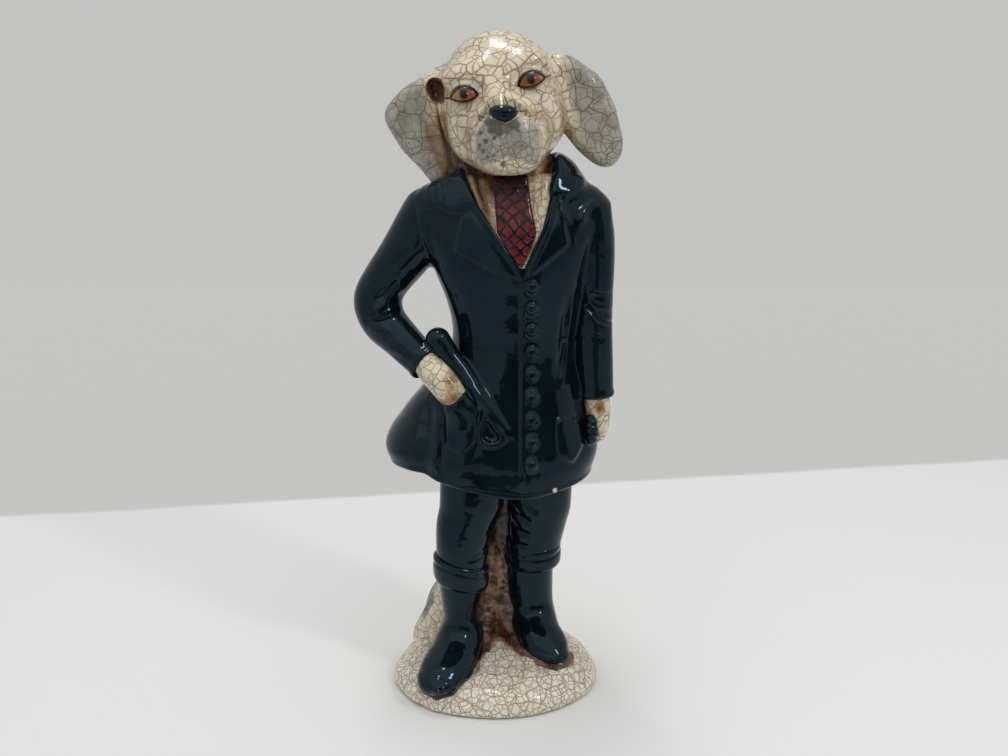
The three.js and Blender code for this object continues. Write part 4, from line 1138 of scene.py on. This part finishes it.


# the last colour, a pale pinkish grey, is a painted highlight near the top of the stump
barkColours = dict(
    red=(0.135, 0.060, 0.036), dark=(0.026, 0.014, 0.010), tan=(0.30, 0.195, 0.095),
    ash=(0.085, 0.078, 0.066), dustAndHighlight=(0.24, 0.19, 0.17),
)
# the pale patch near the top of the stump is a painted highlight
barkSizes = dict(tanMiddle=47, tanFade=(8, 22), highlightMiddle=91, highlightFade=(3, 8), darkFrom=(62, 78),
                 bandX=44.5, bandLean=0.33)


def barkGlaze(name):
    shop = GlazeShop(name)
    k, s = barkColours, barkSizes
    x, y, z = shop.split(shop.place)
    cream, _ = creamColour(shop, 4.2, 0.14, 12.0, 0.7)
    wave = shop.noise(3.5, detail=5.0)
    colour = shop.mix(shop.step(wave, 0.35, 0.65), k["dark"], k["red"])
    light = shop.step(abs(z - s["tanMiddle"]), *s["tanFade"], 1, 0) * shop.step(shop.noise(6.0), 0.35, 0.6)
    colour = shop.mix(light * shop.step(wave, 0.4, 0.6), colour, k["tan"])
    colour = shop.mix(shop.step(z, *s["darkFrom"]) * 0.75, colour, k["dark"])
    # a painted highlight: a pale pinkish-grey patch near the top of the stump
    dustAndHighlight = shop.step(abs(z - s["highlightMiddle"]), *s["highlightFade"], 1, 0) * shop.step(shop.noise(5.0), 0.45, 0.6)
    colour = shop.mix(dustAndHighlight * 0.6, colour, k["dustAndHighlight"])
    colour = shop.mix(shop.mark("wash") * 0.5, colour, k["dark"])
    flank = shop.step(x + shop.stray(6.0, 8), -25, -20, 1, 0) * shop.step(z, 44, 52, 1, 0)
    flank = flank.most(shop.step(x, 22, 26) * shop.step(z, 40, 50, 1, 0))
    flank = flank.most(shop.step(y, 26, 32) * shop.step(z, 40, 60, 1, 0))
    colour = shop.mix(flank, colour, cream)
    away = abs(x + s["bandX"] - z * s["bandLean"] + shop.stray(7.0, 5))
    band = shop.step(away, 1.2, 3.4, 1, 0) * shop.step(z, 20, 26)
    colour = shop.mix(band * flank * 0.85, colour, k["ash"])
    height = wave * 0.8 + shop.noise(1.2, detail=3.0) * 0.3
    return shop.finish(Base_Color=colour, Roughness=shop.step(wave, 0.3, 0.7, 0.16, 0.34),
                       Normal=shop.bump(height, 0.0004))


soleColours = dict(dark=(0.060, 0.030, 0.022), brown=(0.15, 0.072, 0.045), tan=(0.24, 0.13, 0.05),
                   black=(0.006, 0.006, 0.008))


def soleGlaze(name, bare):  # bare: how much of the brown shows through the black
    shop = GlazeShop(name)
    k = soleColours
    colour = shop.mix(shop.step(shop.noise(3.0, detail=4.0), 0.3, 0.7), k["dark"], k["brown"])
    colour = shop.mix(shop.step(shop.noise(6.0), 0.55, 0.7) * 0.45, colour, k["tan"])
    colour = shop.mix(shop.step(shop.noise(9.0), bare - 0.1, bare + 0.3), colour, k["black"])
    rough = shop.step(shop.noise(2.0), 0.3, 0.7, 0.18, 0.36)
    return shop.finish(Base_Color=colour, Roughness=rough, Normal=shop.bump(shop.noise(1.2), 0.0002))


tieSizes = dict(
    spacing=4.2, line=0.50, lean=0.84, wander=4.0, shadeFrom=(228, 240), red=(0.080, 0.009, 0.008),
    bright=(0.15, 0.022, 0.015), dark=(0.024, 0.005, 0.006), black=(0.006, 0.006, 0.010),
    stain=(0.02, 0.008, 0.006),
)


def tieGlaze(name):
    shop = GlazeShop(name)
    t = tieSizes
    shift = shop.vector("SUBTRACT", {0: shop.noise(8.0, output="Color"), 1: (0.5, 0.5, 0.5)})
    place = shop.vector("MULTIPLY_ADD", {0: shift, 1: (t["wander"],) * 3, 2: shop.place})
    x, z = shop.split(place, "XZ")
    net = None
    for lean in (t["lean"], -t["lean"]):
        across = (x * math.cos(lean) + z * math.sin(lean)) / t["spacing"]
        away = abs(across.maths("FRACT", across) - 0.5) * t["spacing"]
        line = shop.step(away + shop.stray(2.0, 0.7), t["line"] - 0.14, t["line"] + 0.18, 1, 0)
        net = line if net is None else net.most(line)
    colour = shop.mix(shop.step(shop.noise(4.0, detail=3.0), 0.35, 0.7), t["red"], t["bright"])
    colour = shop.mix(shop.step(shop.noise(2.4), 0.55, 0.75) * 0.5, colour, t["dark"])
    colour = shop.mix(shop.step(z + shop.stray(5.0, 6), *t["shadeFrom"]) * 0.85, colour, t["dark"])
    colour = shop.mix(net * 0.95, colour, t["black"])
    colour = shop.mix(shop.step(shop.mark("wash"), 0.25, 0.9) * 0.8, colour, t["stain"])
    bumps = shop.noise(2.2) * 0.6 + net * 0.4
    return shop.finish(Base_Color=colour, Roughness=0.11, Normal=shop.bump(bumps, 0.00025),
                       Specular_IOR_Level=0.28)


def headPlace(shop):  # the head's own front view, in the shader
    x, z = shop.split(shop.place, "XZ")
    x, _, z = headFrame(x, 0, z)
    return x, z


eyeColours = dict(
    iris=(0.20, 0.048, 0.008), irisLight=(0.31, 0.090, 0.016), irisDark=(0.050, 0.014, 0.006),
    white=(0.40, 0.27, 0.12), olive=(0.27, 0.18, 0.055), pupil=(0.006, 0.008, 0.012),
    line=(0.008, 0.007, 0.007),
)


def eyeGlaze(name, side):
    shop = GlazeShop(name)
    k = eyeColours
    upper, lower, u, v = eyeOutline(*headPlace(shop), side)
    wobble = shop.stray(1.4, 0.5)
    turn = u * side  # outward from the nose
    pu, pv = u + 0.1 * side, v - 1.0
    ring = (pu * pu + pv * pv * 0.62) ** 0.5 + wobble * 0.4  # distance from the pupil's middle
    colour = shop.mix(shop.step(shop.noise(1.1, detail=3.0), 0.35, 0.65), k["iris"], k["irisLight"])
    colour = shop.mix(shop.step(ring, 1.4, 2.3, 1, 0) * 0.7, colour, k["irisDark"])
    colour = shop.mix(shop.step(v, 0.4, 2.8) * 0.55, colour, k["irisDark"])
    if side < 0:
        colour = shop.mix(shop.step(turn + wobble, 0.8, 2.4) * 0.75, colour, k["olive"])
    colour = shop.mix(shop.step(turn + wobble, 3.0, 4.4) * 0.35, colour, k["white"])
    colour = shop.mix(shop.step(-1 * turn + wobble, 3.2, 4.6) * 0.3, colour, k["white"])
    colour = shop.mix(shop.step(ring, 1.35, 1.6, 1, 0), colour, k["pupil"])
    gu, gv = u - 1.7, v - 1.0  # a painted glint
    colour = shop.mix(shop.step(gu * gu + gv * gv, 0.05, 0.18, 1, 0) * 0.8, colour, k["white"])
    rim = shop.step(upper, -0.75, -0.4).most(shop.step(lower, -0.35, -0.1))
    colour = shop.mix(rim, colour, k["line"])
    return shop.finish(Base_Color=colour, Roughness=0.30, Normal=shop.bump(shop.noise(2.0), 0.0001),
                       Specular_IOR_Level=0.35)


def headGlaze(name, cell, width, seed):
    shop = GlazeShop(name)
    colour, lines = creamColour(shop, cell, width, seed)
    x, z = headPlace(shop)
    front = shop.step(shop.split(shop.place, "Y")[0], -3, 1, 1, 0)
    for side, lash in ((-1, 4.4), (1, 3.4)):
        upper, lower, u, v = eyeOutline(x, z, side)
        edge = upper.most(lower) + shop.stray(1.2, 0.35)
        stripe = shop.step(upper + shop.stray(1.2, 0.3), 0.50, 0.72, 1, 0)
        stripe = stripe * shop.step(lower, 0.35, 0.6, 1, 0)
        turn = u * side
        tail = shop.step(abs(v + 0.25 - turn * 0.02), 0.22, 0.42, 1, 0) * shop.step(turn, 4.4, 4.8)
        tail = tail * shop.step(turn, 5.4 + lash * 0.6, 5.6 + lash, 1, 0)
        shade = shop.step(edge, 0.4, 2.2, 1, 0) * 0.28
        colour = shop.mix(shade * front, colour, creamColours["wash"])
        colour = shop.mix(stripe.most(tail) * front, colour, eyeColours["line"])
    return creamFinish(shop, colour, lines, 0.13, 0.34)


glazes = dict(  # each with the slot it stands for
    moundCream=(creamGlaze("mound_cream", 2.9, 0.17, 4.0, 0.13, 1.0), "cream_glaze"),
    pawCream=(creamGlaze("paw_cream", 4.2, 0.18, 9.0, 0.13, 0.2), "cream_glaze"),
    earCream=(creamGlaze("ear_cream", 5.0, 0.20, 21.0), "cream_glaze"),
    neckCream=(creamGlaze("neck_cream", 3.6, 0.16, 15.0), "cream_glaze"),
    muzzleCream=(creamGlaze("muzzle_cream", 3.1, 0.16, 27.0, 0.26), "grey_glaze"),
    headCream=(headGlaze("head_cream", 4.9, 0.24, 2.0), "cream_glaze"),
    noseBlack=(blackGlaze("nose_black", None, "noseSheen"), "black_glaze"),
    black=(blackGlaze("black_glaze"), "black_glaze"),
    coatBlack=(blackGlaze("coat_black", chipPlace), "black_glaze"),
    bark=(barkGlaze("bark_glaze"), "bark_glaze"),
    sole=(soleGlaze("sole_glaze", 1.0), "sole_glaze"),
    darkSole=(soleGlaze("dark_sole_glaze", 0.15), "sole_glaze"),
    tie=(tieGlaze("tie_glaze"), "red_glaze"),
    rightEye=(eyeGlaze("right_eye_glaze", -1), "amber_glaze"),
    leftEye=(eyeGlaze("left_eye_glaze", 1), "amber_glaze"),
)
print("glazes mixed")


# marks of the brush, as functions of points in millimetres: grey glaze, dark spots and smudges, and brown
# wash


def spot(x, z, middle, radii):
    return bell(x - middle[0], radii[0]) * bell(z - middle[1], radii[1])


def muzzleGrey(p):  # a rounded pad, and below it a pale chin
    x, z = p[:, 0], p[:, 2]
    chin = np.interp(x, (-7, 1, 7, 10, 18, 22), (246.6, 249.6, 252.4, 251.0, 248.2, 247.6))
    return step(1.02 - padShare(x, z), 0, 0.22) * step(z - chin, -2.4, 2.4)


def muzzleWash(p):
    x, z = p[:, 0], p[:, 2]
    edge = 0.30 * step(padShare(x, z), 0.88, 1.0)
    return edge + 0.25 * spot(x, z, (2, 247), (5, 1.6)) + 0.5 * bell(x - 6.7, 0.7) * step(z, 251, 254)


# dark spots on the grey pad, dark smudges just under the nose, and the side at lower x a little darker
def muzzleDarkMarks(p):
    x, z = p[:, 0], p[:, 2]
    at = [(2.3, 264.2, 2.1, 1.2), (3.4, 261.2, 1.7, 0.9), (9.9, 264.4, 2.0, 1.15), (-0.6, 265.6, 1.4, 0.8),
          (0.3, 261.8, 1.0, 0.8), (-1.7, 257.9, 1.1, 0.8), (-2.5, 254.0, 1.0, 0.7), (1.5, 252.5, 0.9, 0.7),
          (5.2, 248.7, 1.3, 1.0), (4.2, 256.0, 0.9, 0.7), (13.8, 264.6, 0.8, 0.7), (6.4, 262.4, 2.6, 0.55),
          (-3.6, 261.0, 0.9, 0.7), (1.9, 259.0, 0.9, 0.8), (-4.0, 256.4, 0.7, 0.7), (-0.8, 251.6, 0.8, 0.7),
          (3.1, 254.0, 0.8, 0.7), (2.2, 250.2, 0.8, 0.6), (4.9, 252.2, 0.8, 0.6), (11.4, 262.0, 1.0, 0.5)]
    return sum(k * spot(x, z, (px, pz), (r, r)) for px, pz, r, k in at) + 0.16 * step(6 - x, 0, 8)


def earGrey(side):
    def grey(p):
        x, _, z = headFrame(*p.T)
        if side < 0:
            return step(-x, 25, 38) + 0.3 * step(-z, 0, 16)
        return step(x, 23, 34) * (0.8 + 0.2 * step(x, 32, 42))
    return grey


def holeWash(x, y, z):  # inside the hollow by the right ear, darkest at its top
    return step(0.9 - ball(x, y, z, *headSizes["earHole"]), 0, 0.9) * (1.0 + 0.6 * step(z, 11.5, 14.5))


def earWash(side):
    def wash(p):
        x, y, z = headFrame(*p.T)
        front = step(12 - y, 0, 5)
        if side < 0:
            line = -35.1 - 0.145 * (z + 1.6)
            low = step(3 - z, 0, 5)
            inner = bell(x + 26.8 - 0.05 * (z + 10), 1.9) * step(1 - z, 0, 6)
            band = step(x, line - 1.2, line + 1.6) * low
            under = spot(x, z, (-27.0, 2.5), (2.4, 4.5))
            streak = bell(x - line, 1.5) * low
            return front * (holeWash(x, y, z) + 0.30 * streak + 0.75 * inner + 0.8 * under + 0.52 * band)
        fold = bell(x - 24.6, 2.6) * step(6 - z, 0, 10)
        return front * (0.6 * fold + 0.9 * step(-z, 20, 32) * step(31 - x, 0, 6))
    return wash


def headWash(p):
    x, y, z = headFrame(*p.T)
    front = step(10 - y, 0, 6)
    sides = 0.7 * bell(x + 25.5, 2.6) * step(6 - z, 0, 8) + 0.6 * bell(x - 24, 2.6) * step(4 - z, 0, 10)
    corners = 0.4 * spot(x, z, (-8.6, 3.4), (2.6, 2.2)) + 0.4 * spot(x, z, (8.4, 3.8), (2.4, 2.2))
    cheeks = 0.42 * bell(padShare(p[:, 0], p[:, 2]) - 1.16, 0.13) * step(-y, 4, 12)
    cheeks = cheeks + 0.28 * spot(x, z, (-17.5, -7), (3.2, 9)) + 0.26 * spot(x, z, (17, -7), (3.4, 8))
    cheeks = cheeks - 1.2 * spot(x, z, (0.4, 2.0), (7, 4.5))
    return front * (holeWash(x, y, z) + sides + corners + cheeks) + 0.4 * step(-z, 18, 26)


def neckWash(p):
    x, z = p[:, 0], p[:, 2]
    left = step(4 - x, 0, 5) * step(z, 214, 234)
    folds = 0.5 + 0.5 * np.sin(x * 1.1 + z * 0.32)
    edges = 0.5 * step(x, 21, 26) + 0.4 * bell(x - 17.6, 1.2) + 0.3 * step(4 - x, 0, 6)
    return 0.10 + left * (0.30 + 0.55 * folds) + edges + 0.35 * step(z, 240, 248)


def moundWash(p):
    at = [(-6, -8, 3.0, 5, 0.75), (-5.5, 0, 3.4, 5, 0.8), (8.5, 1, 4, 4, 0.8), (14.5, -7, 3.4, 4, 0.7),
          (-31, 4, 4.5, 4, 0.7), (-34, -25, 3, 6, 0.45), (-5, -21, 3, 3, 0.3), (35.5, -10, 3, 3, 0.6),
          (16, -17, 3, 2, 0.35)]
    spots = sum(k * spot(p[:, 0], p[:, 1], (x, y), (a, b)) for x, y, a, b, k in at)
    return spots + 0.5 * step(1.6 - p[:, 2], 0, 1.6)


def pawWash(p):
    at = [(-18.0, 157.0, 2.8, 0.9), (-16.0, 150.0, 3.6, 0.9), (-20.5, 146.6, 2.8, 0.7),
          (47.5, 139.6, 3.0, 1.0), (46, 126, 2.5, 0.4)]
    return 0.06 + sum(k * spot(p[:, 0], p[:, 2], (x, z), (r, r)) for x, z, r, k in at)


def bare(p):
    return np.zeros(len(p))


marks = dict(
    grey={"muzzle": muzzleGrey, "right_ear": earGrey(-1), "left_ear": earGrey(1)},
    darkMarks={"muzzle": muzzleDarkMarks},
    wash={
        "muzzle": muzzleWash, "right_ear": earWash(-1), "left_ear": earWash(1), "head": headWash,
        "neck": neckWash, "shirt_front": neckWash, "mound": moundWash, "right_paw": pawWash,
        "left_paw": pawWash,
    },
)
hollowShare = {  # how strongly the wash gathers in a piece's hollows
    "head": 1.5, "right_ear": 2.2, "left_ear": 2.2, "muzzle": 1.6, "neck": 3.2, "shirt_front": 3.0,
    "tie": 2.5, "mound": 3.4, "right_paw": 2.6, "left_paw": 2.6,
}


# firing: each lump becomes a mesh piece

glazeOf = {
    "nose": "noseBlack", "mound": "moundCream", "stump": "bark", "tie": "tie", "right_eye": "rightEye",
    "left_eye": "leftEye", "head": "headCream", "muzzle": "muzzleCream", "neck": "neckCream",
    "shirt_front": "neckCream", "right_ear": "earCream", "left_ear": "earCream", "right_paw": "pawCream",
    "left_paw": "pawCream", "right_sole": "darkSole", "left_sole": "sole", "coat": "coatBlack",
}
fireSizes = dict(band=5.0, settle=3, share=0.4, crumb=0.02, look=0.4, flat=0.47, edge=0.46, edgeGain=5.0,
                 hollow=2.0)


def largest(points, faces):  # drops crumbs that a cut left
    label = np.arange(len(points))
    while True:
        low = label[faces].min(axis=1)
        new = label.copy()
        np.minimum.at(new, faces.ravel(), np.repeat(low, 4))
        new = new[new]
        if (new == label).all():
            break
        label = new
    names, sizes = np.unique(label[faces[:, 0]], return_counts=True)
    keep = names[sizes > fireSizes["crumb"] * sizes.max()]
    faces = faces[np.isin(label[faces[:, 0]], keep)]
    used, flat = np.unique(faces.ravel(), return_inverse=True)
    return points[used], flat.reshape(-1, 4)


def fire(name, c):
    s = fireSizes
    grid = vdb.FloatGrid(s["band"])
    grid.copyFromArray(np.ascontiguousarray(c.field, "f4"))
    points, _, quads = grid.convertToPolygons(isovalue=0.0, adaptivity=0.0)
    points, quads = largest(np.array(points, float), np.array(quads, int))
    points = c.low + points * c.cell
    for _ in range(s["settle"]):  # settle on the surface
        slope = c.slope(points)
        move = c.at(points)[:, None] * slope / np.maximum((slope**2).sum(axis=1, keepdims=True), 0.2)
        points = points - np.clip(move, -s["share"] * c.cell, s["share"] * c.cell)
    slope = c.slope(points)
    normals = slope / np.maximum(np.linalg.norm(slope, axis=1, keepdims=True), 1e-6)
    mesh = bpy.data.meshes.new(name + "_glazed")
    mesh.from_pydata(points / metre, [], quads)
    mesh.polygons.foreach_set("use_smooth", np.ones(len(quads), bool))
    depth = (room.at(points + normals * s["look"]) - s["flat"]) * hollowShare.get(name, s["hollow"])
    paint = {label: brush.get(name, bare)(points) for label, brush in marks.items()}
    paint["wash"] = paint["wash"] + np.clip(depth, 0, 1)
    paint["edge"] = np.clip((s["edge"] - near.at(points)) * s["edgeGain"], 0, 1.5)
    for label, values in paint.items():
        mesh.attributes.new(label, "FLOAT", "POINT").data.foreach_set("value", values.astype("f4"))
    mesh.normals_split_custom_set_from_vertices(normals)
    piece = bpy.data.objects.new(name + "_glazed", mesh)
    bpy.context.scene.collection.objects.link(piece)
    glaze, slot = glazes[glazeOf.get(name, "black")]
    mesh.materials.append(glaze)
    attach(piece, "root")
    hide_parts(name)
    return len(quads)


total = sum(fire(name, c) for name, c in lump.items())
print("fired", len(lump), "pieces,", total, "faces")


# floor, light and camera

stageSizes = dict(  # metres; the pale cloth ends at a slanting edge
    width=4.0, front=-2.0, back=1.5, curve=0.5, height=1.6, edge=0.252, slant=0.157, softness=0.004,
    floor=(0.80, 0.80, 0.79), wall=(0.67, 0.67, 0.66), wallSeen=(0.53, 0.53, 0.52), room=(0.50, 0.54, 0.58),
    dark=(0.02, 0.03, 0.04), cloth=(0.7, 0.7, 0.7), none=(0.0, 0.0, 0.0),
)
# millimetres on the floor: what a glaze mirrors there is dimmer, and dark in two places
mirrorSizes = dict(
    dimFrom=(140, 330), farEdge=(-700, -560), farSides=((0.0, 0.03), (0.50, 0.56)),
    nearEdges=((-420, -400), (-255, -235)), nearLeft=(0.81, -335, -320), nearRight=(0.6, 365, 380),
)


def stageSweep():
    s = stageSizes
    start = s["back"] - s["curve"]
    profile = [(s["front"], 0.0), (start, 0.0)]
    for k in range(1, 9):
        turn = math.pi / 2 * k / 8
        profile.append((start + s["curve"] * math.sin(turn), s["curve"] * (1 - math.cos(turn))))
    profile.append((s["back"], s["height"]))
    points = [(x, y, z) for y, z in profile for x in (-s["width"] / 2, s["width"] / 2)]
    faces = [(2 * k, 2 * k + 1, 2 * k + 3, 2 * k + 2) for k in range(len(profile) - 1)]
    mesh = bpy.data.meshes.new("floor")
    mesh.from_pydata(points, [], faces)
    mesh.polygons.foreach_set("use_smooth", np.ones(len(faces), bool))
    mesh.materials.append(clothFinish())
    floor = bpy.data.objects.new("floor", mesh)
    bpy.context.scene.collection.objects.link(floor)


def clothFinish():
    s, m = stageSizes, mirrorSizes
    shop = GlazeShop("floor_cloth")
    x, y, _ = shop.split(shop.place)
    edge = (y - x * s["slant"] + shop.stray(60.0, 6)) / metre - s["edge"]
    beyond = shop.step(edge, -s["softness"], s["softness"])
    colour = shop.mix(beyond, s["floor"], s["wall"])
    colour = shop.mix(shop.noise(40.0) * 0.05, colour, s["cloth"])
    mirrored = shop.ray("Glossy")
    dim = shop.step((x * x + y * y) ** 0.5, *m["dimFrom"])
    colour = shop.mix(dim * mirrored * 0.85, colour, s["room"])
    side = x / (y * -1).most(1.0) + shop.stray(90.0, 0.08)
    far = shop.step(y, *m["farEdge"], 1, 0)
    far = far * shop.step(side, *m["farSides"][0]) * shop.step(side, *m["farSides"][1], 1, 0)
    close = shop.step(y + shop.stray(50.0, 60), *m["nearEdges"][0]) * shop.step(y, *m["nearEdges"][1], 1, 0)
    ragged = x + shop.stray(45.0, 70)
    for (lean, low, high), sign, ends in ((m["nearLeft"], 1, (0, 1)), (m["nearRight"], -1, (1, 0))):
        close = close * shop.step(ragged + y * (sign * lean), low, high, *ends)
    colour = shop.mix(far.most(close) * mirrored, colour, s["dark"])
    wallShare = beyond * (mirrored + shop.ray("Camera")).least(1.0)  # the wall keeps an even tone
    return shop.finish(
        Base_Color=shop.mix(wallShare, colour, s["none"]), Emission_Strength=1.0, Roughness=0.9,
        Emission_Color=shop.mix(wallShare, s["none"], s["wallSeen"]),
        Normal=shop.bump(shop.noise(30.0), 0.0006),
    )


stageSweep()


def lamp(name, place, aim, size, power):
    light = bpy.data.lights.new(name, "AREA")
    light.shape = "RECTANGLE"
    light.size, light.size_y = size
    light.energy = power
    thing = bpy.data.objects.new(name, light)
    thing.location = place
    thing.rotation_euler = (Vector(aim) - Vector(place)).to_track_quat("-Z", "Y").to_euler()
    bpy.context.scene.collection.objects.link(thing)


lamp("ceiling", (-0.06, 0.12, 0.95), (-0.06, 0.11, 0), (0.08, 0.40), 1.9)
lamp("window", (0.75, -0.60, 0.95), (0, 0, 0.2), (0.12, 0.26), 2.5)
lamp("overhead", (-0.1, -0.6, 1.3), (0, 0, 0.15), (2.0, 1.4), 3.4)

skyColours = dict(
    low=(0.50, 0.515, 0.53), high=(0.66, 0.66, 0.66), behind=(0.62, 0.62, 0.62), dark=(0.02, 0.026, 0.032),
)
world = bpy.data.worlds.new("studio")
bpy.context.scene.world = world
world.use_nodes = True
sky = NodeShop(world.node_tree)
x, y, z = sky.split(sky.add("ShaderNodeTexCoord", {}, {}, "Generated"))
light = sky.mix(sky.step(z, -0.1, 0.85), skyColours["low"], skyColours["high"])
light = sky.mix(sky.step(y, -0.3, 0.6) * 0.6, light, skyColours["behind"])
middle = sky.step(abs(x - 0.40), 0.46, 0.50, 1, 0) * sky.step(y, -0.4, -0.3, 1, 0)
middle = middle * sky.step(z, 0.28, 0.33, 1, 0) * sky.ray("Glossy")
light = sky.mix(middle, light, skyColours["dark"])  # the dark part of the room that the coat mirrors
sky.tree.links.new(light.socket, sky.tree.nodes["Background"].inputs["Color"])

cameraSizes = dict(place=(0.0128, -0.475, 0.284), pitch=15.6, lens=39.0, sensor=36.0, shift=-18 / 1008,
                   clip=0.01)
camera = bpy.data.cameras.new("camera")
camera.sensor_width = cameraSizes["sensor"]
camera.lens = cameraSizes["lens"]
camera.shift_x = cameraSizes["shift"]
camera.clip_start = cameraSizes["clip"]
view = bpy.data.objects.new("camera", camera)
view.location = cameraSizes["place"]
view.rotation_euler = (math.radians(90 - cameraSizes["pitch"]), 0, 0)
bpy.context.scene.collection.objects.link(view)
bpy.context.scene.camera = view
bpy.context.scene.view_settings.view_transform = "Standard"

print("cad box", [[round(v, 4) for v in corner] for corner in cadBox])
